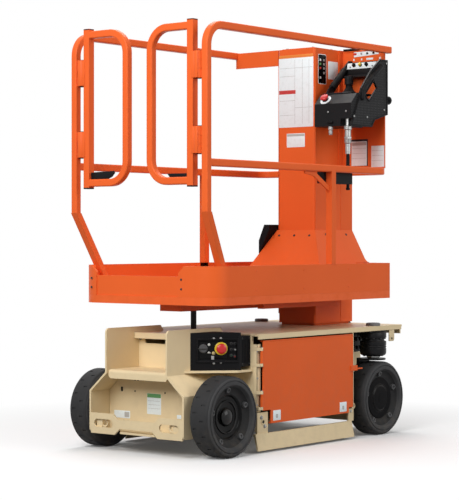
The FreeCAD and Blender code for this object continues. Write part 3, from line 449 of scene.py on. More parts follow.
class LIFT_OT_studio(bpy.types.Operator):
    """Set up the camera, the floor and the soft lamps"""
    bl_idname = "lift.studio"
    bl_label = "Studio"

    def execute(self, context):
        studio = context.scene.lift_studio
        camera = put_in_scene("camera", bpy.data.cameras.new("camera"))
        camera.location = studio.camera_place
        camera.rotation_euler = (math.pi / 2, 0, studio.camera_heading)
        camera.data.lens = studio.lens
        camera.data.sensor_width = 36
        camera.data.shift_x, camera.data.shift_y = studio.shift
        camera.data.clip_end = 200
        context.scene.camera = camera
        context.scene.view_settings.view_transform = "Standard"

        world = bpy.data.worlds.new("white_room")
        context.scene.world = world
        room = Finish(world)
        strength = seen_plainly(room) * (1.0 - studio.ambient) + studio.ambient
        glow = room.node("ShaderNodeBackground", {}, {"Color": (1, 1, 1), "Strength": strength})
        room.node("ShaderNodeOutputWorld", {}, {"Surface": glow})

        mesh = bmesh.new()
        bmesh.ops.create_grid(mesh, x_segments=1, y_segments=1, size=studio.floor_half)
        data = bpy.data.meshes.new("floor")
        mesh.to_mesh(data)
        mesh.free()
        floor = put_in_scene("floor", data)
        pale = new_finish("pale_floor")
        plain = seen_plainly(pale)
        shown = pale.mix(plain, studio.floor_bounce, studio.floor_colour)
        ground = pale.node("ShaderNodeBsdfDiffuse", {}, {"Color": shown})
        away = pale.node("ShaderNodeVectorMath", {"operation": "LENGTH"}, {"Vector": pale.place()}, "Value")
        far = pale.ramp((away - SHADED_WITHIN) * FADE, (0.0, 0.0), (1.0, 1.0))
        lift_up = pale.node("ShaderNodeEmission", {}, {"Color": (1, 1, 1), "Strength": plain})
        near = pale.node("ShaderNodeMixShader", {}, {"Fac": FLOOR_GLOW, "Shader": ground, "Shader_001": lift_up})
        shader = pale.node("ShaderNodeMixShader", {}, {"Fac": far * plain, "Shader": near, "Shader_001": lift_up})
        pale.node("ShaderNodeOutputMaterial", {}, {"Surface": shader})
        data.materials.append(pale.owner)

        for name, (place, aim, size) in LAMPS.items():
            light = bpy.data.lights.new(f"{name}_lamp", "AREA")
            light.size = size
            light.energy = getattr(studio, name)
            lamp = put_in_scene(light.name, light)
            lamp.location = place
            lamp.rotation_mode = "QUATERNION"
            lamp.rotation_quaternion = (Vector((0, 0, aim)) - Vector(place)).to_track_quat("-Z", "Y")
        return {"FINISHED"}


# -------- modelling helpers
# Sizes of the small parts are in millimetres, as on a drawing; a Shape turns them to metres.
MM = 0.001
SIDES = {"left": 1, "right": -1}
WHEELS = [(axle, f"{axle}_{side}", way) for axle in ("rear", "front") for side, way in SIDES.items()]
UP = Vector((0, 0, 1))
ROUND_STEPS = 5  # segments of a plate's rounded corner


def at(place, way=UP):
    """A place in millimetres, whose Z axis points a given way."""
    turn = Vector(way).to_track_quat("Z", "Y").to_matrix().to_4x4()
    return Matrix.Translation(Vector(place)) @ turn


def on_wall(place, right, up=UP):
    """A place on a flat wall, from the wall's own right-hand and upward ways."""
    right, up = Vector(right).normalized(), Vector(up).normalized()
    axes = Matrix((right, up, right.cross(up))).transposed().to_4x4()
    return Matrix.Translation(Vector(place)) @ axes


def on_rear(x, left, up):
    """A place on a wall that faces the rear."""
    return on_wall((x, left, up), (0, -1, 0))


def on_side(x, left, up, way):
    """A place on a wall that faces out of the lift's left side (way 1) or its right (way -1)."""
    return on_wall((x, left * way, up), (-way, 0, 0))


def rearward(x, left, up):
    return at((x, left, up), (-1, 0, 0))


def forward(x, left, up):
    return at((x, left, up), (1, 0, 0))


def sideward(x, left, up, way):
    return at((x, left * way, up), (0, way, 0))


def around(count, start, radius, height, way):
    """Places evenly round Z, the first at an angle of its own, each turned with its angle."""
    return [Matrix.Rotation(start + i * 2 * math.pi / count, 4, "Z") @ at((radius, 0, height), way)
            for i in range(count)]


def box_mm(node):
    """A node's lowest and highest corners in millimetres."""
    return [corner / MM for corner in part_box(node)]


def pour(part, target):
    """Join a part to another mesh and free it."""
    held = bpy.data.meshes.new("part")
    part.to_mesh(held)
    part.free()
    target.from_mesh(held)
    bpy.data.meshes.remove(held)


class Shape:
    """Gathers simple parts, each in its own finish, into one piece."""

    def __init__(self, name, body, slot=None, finish=None):
        self.name = name
        self.body = body
        self.slot = slot
        self.finish = finish or slot
        self.mesh = bmesh.new()
        self.finishes = []

    def add(self, part, place, finish=None):
        """Join a part at its place, in the piece's own finish or in another."""
        finish = finish or self.finish
        bmesh.ops.transform(part, matrix=place, verts=part.verts)
        bmesh.ops.recalc_face_normals(part, faces=part.faces)
        if finish not in self.finishes:
            self.finishes.append(finish)
        for face in part.faces:
            face.material_index = self.finishes.index(finish)
        pour(part, self.mesh)

    def fit(self, make, *rows):
        """Join a part for each row: its sizes, its place and, where it isn't the piece's own, its finish."""
        for sizes, *where in rows:
            self.add(make(*sizes), *where)

    def recolour(self, centre, way, choose):
        """Give each face of a wheel another finish, by its distance from the axle and how far out it is."""
        for face in self.mesh.faces:
            spot = face.calc_center_median()
            face.material_index = choose(math.hypot(spot.x - centre.x, spot.z - centre.z),
                                         (spot.y - centre.y) * way)

    def done(self, smooth=32, replaces=()):
        """Write the piece out in metres, smooth apart from its sharp edges."""
        bmesh.ops.scale(self.mesh, vec=(MM, MM, MM), verts=self.mesh.verts)
        data = bpy.data.meshes.new(self.name)
        for face in self.mesh.faces:
            face.smooth = True
        self.mesh.to_mesh(data)
        self.mesh.free()
        data.set_sharp_from_angle(angle=math.radians(smooth))
        for finish in self.finishes:
            data.materials.append(FINISH[finish])
        piece = put_in_scene(self.name, data)
        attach(piece, self.body)
        if replaces:
            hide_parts(*replaces)


def lathe(outline, steps=32, closed=False):
    """Spin an outline of (radius, height) about Z; an open one is joined to the axis, level with its ends."""
    part = bmesh.new()
    outline = list(outline)
    if not closed and outline[0][0]:
        outline.insert(0, (0, outline[0][1]))
    if not closed and outline[-1][0]:
        outline.append((0, outline[-1][1]))
    verts = [part.verts.new((radius, 0, height)) for radius, height in outline]
    ends = verts[1:] + verts[:1] if closed else verts[1:]
    edges = [part.edges.new(pair) for pair in zip(verts, ends)]
    bmesh.ops.spin(part, geom=verts + edges, cent=(0, 0, 0), axis=(0, 0, 1), angle=2 * math.pi, steps=steps,
                   use_merge=True)
    bmesh.ops.remove_doubles(part, verts=part.verts, dist=0.01)
    return part


def disc(radius, high, steps=16):
    return lathe([(radius, 0), (radius, high)], steps)


def ring_eye(radius, thick):
    """A closed ring of round bar."""
    turns = [math.pi * i / 6 for i in range(12)]
    return lathe([(radius + thick * math.cos(turn), thick * math.sin(turn)) for turn in turns], 32, closed=True)


def ease(part, geom, width, segments=2, affect="EDGES"):
    bmesh.ops.bevel(part, geom=list(geom), offset=width, segments=segments, profile=0.5, affect=affect,
                    material=-1, clamp_overlap=True)


def block(across, up, deep, width=1.0, segments=2):
    """A block with eased edges, standing on its base."""
    part = bmesh.new()
    bmesh.ops.create_cube(part, size=1.0)
    bmesh.ops.scale(part, vec=(across, up, deep), verts=part.verts)
    bmesh.ops.translate(part, vec=(0, 0, deep / 2), verts=part.verts)
    ease(part, part.edges, width, segments)
    return part


def slab(corners, deep, width=0.0, round_corners=0.0):
    """A flat outline made thick, its corners rounded first and its edges eased after."""
    part = bmesh.new()
    part.faces.new([part.verts.new((across, up, 0)) for across, up in corners])
    if round_corners:
        ease(part, part.verts, round_corners, ROUND_STEPS, "VERTICES")
    grown = bmesh.ops.extrude_face_region(part, geom=list(part.faces))
    bmesh.ops.translate(part, vec=(0, 0, deep), verts=[v for v in grown["geom"] if isinstance(v, bmesh.types.BMVert)])
    if width:
        rims = [e for e in part.edges if e.is_manifold and e.calc_face_angle(0) > 1.0
                and abs(e.verts[0].co.z - e.verts[1].co.z) < 0.01]
        ease(part, rims, width)
    return part


def plate(across, up, deep, radius, width=0.3):
    """A rectangular plate with rounded corners, centred on its place."""
    x, y = across / 2, up / 2
    return slab([(-x, -y), (x, -y), (x, y), (-x, y)], deep, width, radius)


def hex_bolt(across_flats, high, washer=True):
    """A hexagon head, domed a little, on its washer."""
    part = bmesh.new()
    radius = across_flats / math.sqrt(3)
    base = 1.2 if washer else 0.0
    bmesh.ops.create_cone(part, cap_ends=True, segments=6, radius1=radius, radius2=radius, depth=high)
    bmesh.ops.translate(part, vec=(0, 0, base + high / 2), verts=part.verts)
    ease(part, [e for e in part.edges if all(v.co.z > base + high - 0.01 for v in e.verts)], high * 0.22, 1)
    if washer:
        pour(lathe([(radius * 1.35, 0), (radius * 1.35, 1.0), (radius * 1.28, 1.3)], 16), part)
    return part


def round_screw(radius, high):
    """A pan head with a round recess in its top."""
    return lathe([(radius, 0), (radius, high * 0.45), (radius * 0.8, high * 0.85), (radius * 0.34, high),
                  (radius * 0.3, high * 0.62), (0, high * 0.55)], 14)


def mushroom(radius, high):
    """A stop button: a stem and a domed head."""
    head = ((0.52, 0.5), (0.9, 0.56), (0.98, 0.62), (1, 0.72), (0.97, 0.82), (0.86, 0.9), (0.6, 0.96), (0.3, 0.99),
            (0, 1))
    return lathe([(radius * 0.5, 4), *((radius * out, high * up) for out, up in head)], 40)


# -------- wheels
DISH_RADIUS = 117
TREAD_RADIUS = 151.8
FIRST_BOSS, BOSS_RADIUS, BOSS_DEPTH = math.radians(95), 107, 22
FIRST_BOLT, BOLT_RADIUS, BOLT_DEPTH = math.radians(36), 46, 21
# Two rows of short sipes: how far across the tread, and how many faces round the first one is.
SIPES = ((18, 0), (-18, 3))
SIPE_STEP = 6
SIPE_INSET = 2.9
SIPE_DEPTH = 3
BOSS = [(13, -6), (12.4, 4), (11, 6.6), (8, 7.4), (5.6, 6.4), (4.6, 2.6), (0, 2)]
TYRE_OUTSIDE = [
    (90, 21), (95, 21.4), (106, 24), (113, 28), (118.6, 35), (122, 42), (124, 46), (126.5, 48.6), (129, 49),
    (137, 49), (138.2, 48.2), (139.4, 45.6), (142.2, 45.6), (143.2, 48), (144.4, 48.6), (147, 48), (150.2, 46.6),
    (151.6, 43.4), (153.2, 42.8), (155.4, 41), (157.6, 37.6), (158.8, 34)]
TREAD_ROWS = (32, 29, 7, 3, -3, -7, -29, -32)


def wheel_centre(name):
    """A wheel's centre and half its width, in millimetres."""
    low, high = box_mm(f"tyre_{name}")
    return (low + high) / 2, (high.y - low.y) / 2


def tyre_ring(outer, half):
    """Ring with rounded shoulders, a groove, a dished outer side and two rows of sunk sipes."""
    inside = [(158.6, -35), (157.2, -38.6), (153, -43.4), (147, -47), (138, -half), (100, -half), (92, -47.5),
              (90, -44)]
    part = lathe(TYRE_OUTSIDE + [(outer, row) for row in TREAD_ROWS] + inside, 96, closed=True)
    for row, first in SIPES:
        faces = [f for f in part.faces if abs(f.calc_center_median().z - row) < 0.6
                 and f.calc_center_median().xy.length > outer - 1.5]
        faces.sort(key=lambda f: math.atan2(f.calc_center_median().y, f.calc_center_median().x))
        chosen = faces[first::SIPE_STEP]
        bmesh.ops.inset_individual(part, faces=chosen, thickness=SIPE_INSET)
        for face in chosen:
            outward = Vector((*face.calc_center_median().xy, 0)).normalized()
            sunk = bmesh.ops.extrude_discrete_faces(part, faces=[face])["faces"]
            bmesh.ops.translate(part, vec=outward * -SIPE_DEPTH, verts=sunk[0].verts)
    return part


class LIFT_OT_tyres(bpy.types.Operator):
    """Build the solid tyres with their dished sides, moulded bosses and sipes"""
    bl_idname = "lift.tyres"
    bl_label = "Tyres"

    def execute(self, context):
        sizes = context.scene.lift_wheel
        for _, name, way in WHEELS:
            centre, half = wheel_centre(name)
            shape = Shape(f"solid_tyre_{name}", f"wheel_{name}", "tyre")
            place = at(centre, (0, way, 0))
            shape.add(tyre_ring(sizes.tyre_radius / MM, half), place, "tyre_side")
            # faces inside the dish take the darker rubber, painted shade of the recess
            shape.finishes += ["tyre_dish", "tyre_tread"]
            shape.recolour(centre, way, lambda radius, out: 1 if radius < DISH_RADIUS and out > 0
                           else 2 if radius > TREAD_RADIUS else 0)
            # bosses in a lighter rubber, as a painted highlight
            for spot in around(sizes.bosses, FIRST_BOSS, BOSS_RADIUS, half - BOSS_DEPTH, (-0.3, 0, 1)):
                shape.add(lathe(BOSS, 20), place @ spot, "worn_rubber")
            shape.done(28, [f"tyre_{name}"])
        return {"FINISHED"}


# Shiny rings of each hub, from one radius to another, and its plain and shiny finishes.
HUB_SHINE = {"rear": ((-1, 38), (59, 66.8)), "front": ((50, 62),)}
HUB_FINISH = {"rear": ("gloss_black", "polished_black"), "front": ("flat_black", "gloss_black")}
# Outer face of the web that the five bolts behind it are measured from.
HUB_FACE = {"rear": 14, "front": 32}
HUB = {
    "rear": [(17.55, 15), (17.55, -14), (34, -14), (34, -2), (80, -2), (82, -4), (82, -37), (83.5, -39),
             (88.5, -39), (90, -37), (90, 20), (89, 21.3), (86, 21), (82.5, 17.5), (80, 12.6), (67, 11.8),
             (65.4, 14.6), (63.6, 16.4), (61.4, 16.4), (59.6, 14.4), (58, 10.6), (44, 9.4), (37.5, 9.2),
             (36.4, 11.6), (35.4, 16), (33, 20.4), (28.4, 24.4), (21.8, 27.6), (13.6, 29.6), (6, 30.3), (0, 30.5)],
    "front": [(17.55, 33), (17.55, 4), (34, 4), (34, 16), (80, 16), (82, 14), (82, -37), (83.5, -39),
              (88.5, -39), (90, -37), (90, 19), (89.4, 22), (87.6, 24), (84, 24.6), (62, 24.6), (60, 25.2),
              (58.4, 27.2), (55.6, 29.4), (50, 31), (30, 31.8), (0, 32.2)],
}
HUB_PROUD = 15  # shine shows only on faces further out than this


class LIFT_OT_hubs(bpy.types.Operator):
    """Build the wheel discs with their rims, rings and domed caps"""
    bl_idname = "lift.hubs"
    bl_label = "Hubs"

    def execute(self, context):
        for axle, name, way in WHEELS:
            centre = wheel_centre(name)[0]
            shape = Shape(f"wheel_disc_{name}", f"wheel_{name}", "black_steel")
            place = at(centre, (0, way, 0))
            plain, shiny = HUB_FINISH[axle]
            shape.add(lathe(HUB[axle], 72), place, plain)
            shape.finishes.append(shiny)
            shape.recolour(centre, way, lambda radius, out: int(
                out > HUB_PROUD and any(low < radius < high for low, high in HUB_SHINE[axle])))
            for spot in around(5, FIRST_BOLT, BOLT_RADIUS, HUB_FACE[axle] - BOLT_DEPTH, (0, 0, -1)):
                shape.add(hex_bolt(13, 6), place @ spot, "zinc_plate")
            shape.done(30, [f"wheel_{name}"])
        return {"FINISHED"}


# -------- ground controls
SLANT_FROM = Vector((-556, -163, 0))
SLANT_WAY = Vector((1, -1, 0)).normalized()
SLANT_OUT = SLANT_WAY.cross(UP)
SUNK = -8.4  # the bezel's floor, under the slanted face
KEY_SWITCH = [(18, 0), (18, 3), (16.4, 5), (14.8, 8), (14.2, 8.4)]
STOP_DISH = [(26, 0), (26, 2.4), (25, 4.6), (23.4, 5.6), (21.5, 5.8), (14, 4.4), (0, 4.2)]
TOGGLE_NUT = [(6.4, 0), (6.4, 2.4), (5, 3.4)]
TOGGLE = [(2, 0), (2.9, 8), (2.3, 10), (0, 10.6)]


def on_slant(along, up, out=0.0):
    """A place on the slanted face of the ground controls."""
    return on_wall(SLANT_FROM + SLANT_WAY * along + UP * up + SLANT_OUT * out, SLANT_WAY)


class LIFT_OT_ground_controls(bpy.types.Operator):
    """Build the bezel, key switch, toggles and lamps of the ground controls"""
    bl_idname = "lift.ground_controls"
    bl_label = "Ground controls"

    def execute(self, context):
        shape = Shape("ground_panel", "chassis", "black_plastic")
        for along, up, across, high in ((108.3, 455, 168, 7), (108.3, 366, 168, 7),
                                        (27, 410.5, 6, 96), (189.5, 410.5, 6, 96)):
            shape.add(block(across, high, 5, 1.6, 3), on_slant(along, up, -1))
        shape.add(plate(112, 66, 1.6, 2), on_slant(94, 410.5, SUNK), "gloss_black")
        shape.add(block(4, 74, 6, 1.2), on_slant(154.5, 410.5, SUNK))
        shape.add(plate(27, 70, 2, 2), on_slant(171, 410.5, SUNK))
        # key switch with its pointer
        shape.add(lathe(KEY_SWITCH, 36), on_slant(52, 418, SUNK + 1), "key_grey")
        shape.fit(block, ((34, 5, 3.4, 0.8), on_slant(52, 418, SUNK + 9), "dark_grey"),
                  ((9, 1.6, 1.2, 0.3), on_slant(30, 418, SUNK + 2), "pale_mark"))
        # marks, lamp and connector
        shape.add(lathe([(5.4, 0), (5.4, 1.5), (3.6, 3), (0, 3.4)], 20), on_slant(75, 434, SUNK + 1), "pale_mark")
        shape.add(slab([(-7, -2), (7, -2), (5, 2), (2, 4.4), (-2, 4.4), (-5, 2)], 1, 0.2),
                  on_slant(75, 402, SUNK + 1.6), "pale_mark")
        shape.add(lathe([(7, 0), (7, 1.5), (5.6, 3.4), (3, 5), (0, 5.6)], 20), on_slant(93, 400, SUNK + 1),
                  "lamp_lens")
        shape.add(block(12, 15, 3, 1.2), on_slant(89.5, 382, SUNK + 1), "light_grey")
        for along, up in ((93, 458.5), (121, 459.5), (93, 361), (121, 364)):
            shape.add(round_screw(5, 3), on_slant(along, up, 1), "zinc_plate")
        # guarded toggles on the forward part
        for along, up, finish in ((163, 438, None), (178, 438, None), (163, 414, None), (178, 414, "light_grey"),
                                  (163, 391, "dark_green"), (177, 387, "dull_red")):
            shape.add(lathe(TOGGLE_NUT, 18), on_slant(along, up, SUNK + 2), "dark_grey")
            shape.add(lathe(TOGGLE, 12), on_slant(along, up, SUNK + 5), finish)
        # ribs and screws of the end cap
        for i in range(5):
            shape.add(block(3, 96, 2, 0.7), on_side(i * 10 - 396, 301, 406, -1))
        for x, z in product((-400, -356), (356, 457)):
            shape.add(round_screw(4, 2.6), on_side(x, 301, z, -1), "dark_grey")
        shape.done()
        low, high = box_mm("ground_stop_ring")
        place = at((low + high) / 2 - SLANT_OUT * 3, SLANT_OUT)
        rim = Shape("ground_stop_dish", "chassis", "yellow_plastic")
        rim.add(lathe(STOP_DISH, 48), place)
        rim.done(replaces=["ground_stop_ring"])
        button = Shape("ground_stop_mushroom", "chassis", "red_plastic")
        button.add(mushroom(20.5, 27), place)
        button.done(replaces=["ground_stop_button"])
        return {"FINISHED"}


# -------- platform console
PLATE_OUT = -345  # outer face of the console's right plate, to the left
ARM_OUT = -346.5
# The slanted rear face of the console's bar, from its lower edge to its upper one.
BAR_FOOT = Vector((522, 0, 1564))
BAR_UP = (Vector((538, 0, 1630)) - BAR_FOOT).normalized()
# Lines on the right plate, forward and up: its bead, its window and the arm along its slanted edge.
BEAD = ((299, 1338), (450, 1341), (473, 1371), (571, 1398), (568, 1628), (521, 1628), (452, 1577), (377, 1497))
WINDOW = ((396, 1470), (430, 1446), (492, 1506), (465, 1539))
ARM = ((526, 1604), (452, 1555), (406, 1516), (382, 1484), (377, 1450))
ARM_TIP = ((0, 5), (6, 3.5), (9.6, 0), (11, -5))  # radius and how far past the end of a run of the arm
GRIP = [(12.2, 36), (12.8, 44), (15, 50), (18.4, 56), (19.2, 62), (18.8, 70), (17, 76), (12, 79.4), (0, 80)]
SLEEVE = [(12, 0), (14.6, 3), (14.6, 128), (12, 131)]
CLAMP_KNOB = [(17, 0), (19, 2), (19, 13), (16.5, 15), (11, 15.6)]
CONNECTOR = [(4.6, 0), (4.6, 16), (9.4, 17.4), (10.6, 19), (10.6, 31), (9.4, 32.4), (7.4, 33), (7.4, 36),
             (8.8, 37), (8.8, 45), (7.4, 46.4), (7.4, 50), (8.2, 51), (7, 54), (0, 54.6)]


def on_bar(left, along, out=0.0):
    """A place on the rear face of the console's bar."""
    face = on_wall(BAR_FOOT + BAR_UP * along + Vector((0, left, 0)), (0, -1, 0), BAR_UP)
    return face @ Matrix.Translation((0, 0, out))


def pairs(line, closed=False):
    """The runs of a line of points, back to its start if it is closed."""
    return zip(line, line[1:] + line[:1] if closed else line[1:])


def rib(start, end, wide, proud):
    """A low rib from one point to another on the right plate, with its place."""
    start, end = (Vector((x, PLATE_OUT, z)) for x, z in (start, end))
    way = end - start
    part = block(way.length + wide * 0.6, wide, proud, min(wide, proud) * 0.45)
    return part, on_wall((start + end) / 2, way, Vector((0, -1, 0)).cross(way))


class LIFT_OT_console(bpy.types.Operator):
    """Build the console's toggles, joystick boot, stop button, connector and trim"""
    bl_idname = "lift.console"
    bl_label = "Console"

    def execute(self, context):
        shape = Shape("console_fittings", "platform", "black_plastic")
        # switch strip on the bar
        shape.fit(plate, ((168, 27, 1.2, 2), on_bar(-244, 51), "white_plate"),
                  ((168, 22, 1.0, 2), on_bar(-244, 22), "soft_black"))
        for left, finish in ((-197, None), (-230, "yellow_plastic"), (-263, None)):
            shape.add(lathe([(8.2, 0), (8.2, 2), (6.6, 3.6)], 20), on_bar(left, 53, 1), "dark_grey")
            shape.add(block(10, 15, 12, 2.4, 3), on_bar(left, 53, 3) @ Matrix.Rotation(-0.4, 4, "X"), finish)
        for left in (-177, -293, -312):
            shape.add(round_screw(3.4, 2.4), on_bar(left, 46, 1), "dark_grey")
        # joystick: boot in folds, stem and a shaped grip
        stick = at((440, -233, 1480))
        boot = [(33, 4), (33, 7), (29, 10)]
        for i in range(5):
            boot += [(27.5 - i * 3.6, 12 + i * 5), (23.5 - i * 3.4, 15 + i * 5)]
        shape.add(lathe(boot + [(9, 40)]), stick, "soft_black")
        shape.add(lathe(GRIP, 28), stick, "soft_black")
        shape.add(plate(20, 26, 2, 4), stick @ Matrix.Translation((0, 0, 79)), "dull_red")
        # raised bead and window of the right plate, and the rounded grab arm along its slanted edge
        for start, end in pairs(BEAD, True):
            shape.add(*rib(start, end, 5, 2.4))
        for start, end in pairs(ARM):
            run = Vector((end[0] - start[0], 0, end[1] - start[1]))
            foot = [(radius, -out) for radius, out in ARM_TIP]
            head = [(radius, run.length + out) for radius, out in reversed(ARM_TIP)]
            shape.add(lathe(foot + head, 24), at((start[0], ARM_OUT, start[1]), run), "soft_black")
        for start, end in pairs(WINDOW, True):
            shape.add(*rib(start, end, 6, 3.0))
        for x, z in ((316, 1375), (415, 1376), (547, 1414), (565, 1618)):
            shape.add(round_screw(4.6, 2.8), sideward(x, 345.6, z, -1), "zinc_plate")
        for left in (-221, -315):
            shape.add(round_screw(4.4, 2.8), rearward(300, left, 1397), "zinc_plate")
        # grip sleeve on the left arm
        shape.add(lathe(SLEEVE, 28), at((423, -154, 1512), (161, 0, 139)), "soft_black")
        # raised lid over the housing, clamp knob and its bracket
        shape.add(block(170, 150, 9, 4, 3), at((432, -233, 1474)))
        shape.add(lathe(CLAMP_KNOB, 10), forward(584, -334, 1458))
        shape.add(block(24, 34, 12, 2), on_wall((577, -333, 1458), (1, 0, 0)))
        # plated connector under the housing
        shape.add(block(24, 30, 12, 3), at((305, -231, 1358), (0, 0, -1)))
        shape.add(lathe(CONNECTOR, 24), at((305, -231, 1352), (0, 0, -1)), "zinc_plate")
        shape.done()

        low, high = box_mm("console_stop_button")
        place = at((318, (low.y + high.y) / 2, 1450), (-1, 0, 1))
        ring = Shape("console_stop_dish", "platform", "black_plastic")
        ring.add(lathe([(25, 0), (25, 1.6), (23.5, 2.4), (15, 2.4)], 40), place, "white_plate")
        ring.add(lathe([(14, 2), (14, 4.4), (12, 6)]), place, "dark_grey")
        ring.done()
        head = Shape("console_stop_mushroom", "platform", "red_plastic")
        head.add(mushroom(18.5, 24), place)
        head.done(replaces=["console_stop_button"])
        return {"FINISHED"}


CONDUIT_FOOT = 1150  # top of the cable box
CONDUIT_PITCH = 5


class LIFT_OT_cable(bpy.types.Operator):
    """Build the plated coupling under the console and the ribbed conduit's trim"""
    bl_idname = "lift.cable"
    bl_label = "Cable"

    def execute(self, context):
        low, high = box_mm("console_cable")
        x, left = (low.x + high.x) / 2, (low.y + high.y) / 2
        coupling = Shape("cable_coupling", "platform", "zinc_plate")
        outline = [(10, 0), (11.2, 1.2), (11.2, 5), (10.2, 6), (10.2, 9), (11.2, 10), (11.2, 44), (13, 46)]
        for i in range(4):
            outline += [(15.4, 48 + i * 3.6), (14.4, 49.4 + i * 3.6), (14.4, 50.4 + i * 3.6)]
        outline += [(15.4, 62.6), (13.2, 64), (13.2, 102), (15.2, 103.6), (17, 105), (17, 119), (15.6, 121),
                    (11, 121.6), (10, 125), (10, 152)]
        coupling.add(lathe(outline, 36), at((x, left, low.z)))
        coupling.add(hex_bolt(29, 9, False), at((x, left, low.z + 66)))
        coupling.done(28, ["console_cable"])
        box_low, box_high = box_mm("cable_box")
        trim = Shape("cable_box_trim", "platform", "black_plastic", "soft_black")
        trim.add(lathe([(11.5, 0), (11.5, 3), (10, 5), (9.6, 14), (8.4, 16)], 28), at((x, left, CONDUIT_FOOT)))
        sleeve = [(0, CONDUIT_FOOT + 14)]  # the first ring starts on the collar
        for i in range(int((low.z - CONDUIT_FOOT - 16) / CONDUIT_PITCH)):
            up = CONDUIT_FOOT + 15 + i * CONDUIT_PITCH
            sleeve += [(8.2, up), (8.2, up + 2.4), (6.8, up + 3), (6.8, up + 4.4)]
        trim.add(lathe(sleeve, 24), at((x, left, 0)))
        trim.add(lathe([(8.6, 0), (8.6, 7), (7, 9), (0, 9.6)], 24), at((x, left, box_low.z + 2), (0, 0, -1)))
        for x, up in product((130, 222, 314), (1138, 1096)):
            trim.add(round_screw(3.6, 2.4), sideward(x, box_high.y, up, 1), "dark_grey")
        trim.add(block(190, 46, 2.4, 1), on_side(221, box_high.y - 0.4, 1117, 1), "black_plastic")
        trim.done()
        return {"FINISHED"}


# -------- blank plates
MAST_REAR = 370.6
MAST_SIDE = 99.6
PANEL_REAR = 576.6
DOOR_SKIN = 344.6
WALL_REAR = -584.6


def rear_of(x):
    """Gives the places on one wall that faces the rear, from how far left and up they are."""
    return lambda left, up: on_rear(x, left, up)


on_mast, on_panel, on_back = rear_of(MAST_REAR), rear_of(PANEL_REAR), rear_of(WALL_REAR)


def on_mast_side(x, up):
    """A place on the mast's right side."""
    return on_side(x, MAST_SIDE, up, -1)


class LIFT_OT_plates(bpy.types.Operator):
    """Put the blank plates and coloured bands on the lift"""
    bl_idname = "lift.plates"
    bl_label = "Blank plates"

    def execute(self, context):
        mast = Shape("mast_plates", "platform", finish="white_plate")
        mast.fit(plate, ((188, 320, 0.7, 3), on_mast(2, 1504)), ((188, 14, 0.9, 2), on_mast(2, 1657), "amber_band"),
                 ((90, 17, 1.1, 0.8), on_mast(49, 1500), "red_band"))
        for left in (8, -33, -69):
            mast.add(plate(0.9, 284, 1.0, 0.3, 0), on_mast(left, 1500), "grey_line")
        for up, left, wide in ((1606, 2, 182), (1570, 50, 84), (1462, 50, 84), (1430, -40, 96), (1398, 50, 84)):
            mast.add(plate(wide, 0.9, 1.0, 0.3, 0), on_mast(left, up), "grey_line")
        mast.fit(plate, ((99, 61, 0.7, 3), on_mast(3, 1286)), ((96, 10, 0.9, 1), on_mast(3, 1309), "grey_band"),
                 ((62, 132, 0.7, 7), on_mast_side(426, 1598)),
                 ((57, 127, 0.9, 6), on_mast_side(426, 1598), "gloss_black"),
                 ((76, 80, 0.7, 3), on_mast_side(509, 1597)))
        for x, up, finish in ((412, 1638, "white_plate"), (412, 1620, "leaf_green"), (412, 1602, "red_band"),
                              (412, 1560, "pale_mark"), (439, 1638, "grey_line"), (439, 1620, "grey_line"),
                              (439, 1602, "grey_line"), (439, 1582, "grey_line")):
            mast.add(plate(12, 10, 1.1, 2), on_mast_side(x, up), finish)
        mast.done(40)
        panel = Shape("panel_plates", "platform", finish="white_plate")
        panel.fit(plate, ((88, 118, 0.8, 2), on_panel(-196, 1233), "dark_grey"),
                  ((82, 108, 1.1, 2), on_panel(-194, 1229)), ((78, 14, 1.3, 1), on_panel(-194, 1272), "grey_band"),
                  ((68, 94, 0.8, 2), on_panel(-292, 1214)))
        for i in range(3):
            panel.add(plate(60, 0.8, 1.0, 0.2, 0), on_panel(-292, 1240 - i * 22), "grey_line")
            panel.add(plate(74, 0.8, 1.3, 0.2, 0), on_panel(-194, 1252 - i * 22), "grey_line")
        panel.add(slab([(-66, -15), (66, -8), (66, 16), (-66, 12)], 0.8, 0.2, 2), on_panel(-232, 1672))
        for left, finish, size in ((-172, "red_band", 17), (-206, "grey_line", 9), (-237, "gloss_black", 11),
                                   (-270, "gloss_black", 11)):
            panel.add(plate(size, 10, 1.2, 3), on_panel(left, 1671), finish)
        for left, size in ((-166, 7), (-207, 7), (-250, 36), (-304, 8)):
            panel.add(plate(size, 9, 0.8, 1), on_panel(left, 1646))
        panel.done(40)
        for side, way in SIDES.items():
            door = Shape(f"door_plates_{side}", f"door_{side}", finish="white_plate")
            for x, z in ((-230, 143), (235, 141)):
                door.add(plate(50, 41, 0.7, 2), on_side(x, DOOR_SKIN, z, way))
                door.add(plate(14, 16, 0.9, 2), on_side(x, DOOR_SKIN, z - 3, way), "grey_band")
            door.done(40)
        back = Shape("chassis_plates", "chassis", finish="white_plate")
        back.fit(plate, ((74, 83, 0.7, 3), on_back(1, 193)), ((72, 16, 0.9, 2), on_back(1, 226), "leaf_green"),
                 *(((62, 0.8, 0.9, 0.2, 0), on_back(1, up), "grey_line") for up in (205, 190, 175)),
                 ((86, 30, 0.7, 2), on_back(172, 142)), ((26, 22, 0.9, 2), on_back(146, 142), "grey_band"),
                 ((23, 15, 0.7, 2), on_back(-130, 150)))
        back.done(40)
        return {"FINISHED"}


# -------- chassis trim
KINGPIN = (518, 307)  # forward and left
NOSE = 689  # front face of the chassis
CAP = [(31, 472.3), (31, 480), (29.5, 483.6), (26, 485), (9, 485.4), (8, 484)]
GUARD_BOSS = [(13, 0), (13, 2.6), (11.4, 4), (8, 4), (7, 2)]


def small_hole(radius):
    """A small hole drawn as a shallow recess inside a low rim, in a dark finish as painted shade of the hole."""
    return lathe([(radius, 0), (radius, 0.7), (radius * 0.8, 0.8), (radius * 0.7, 0.3)], 16)


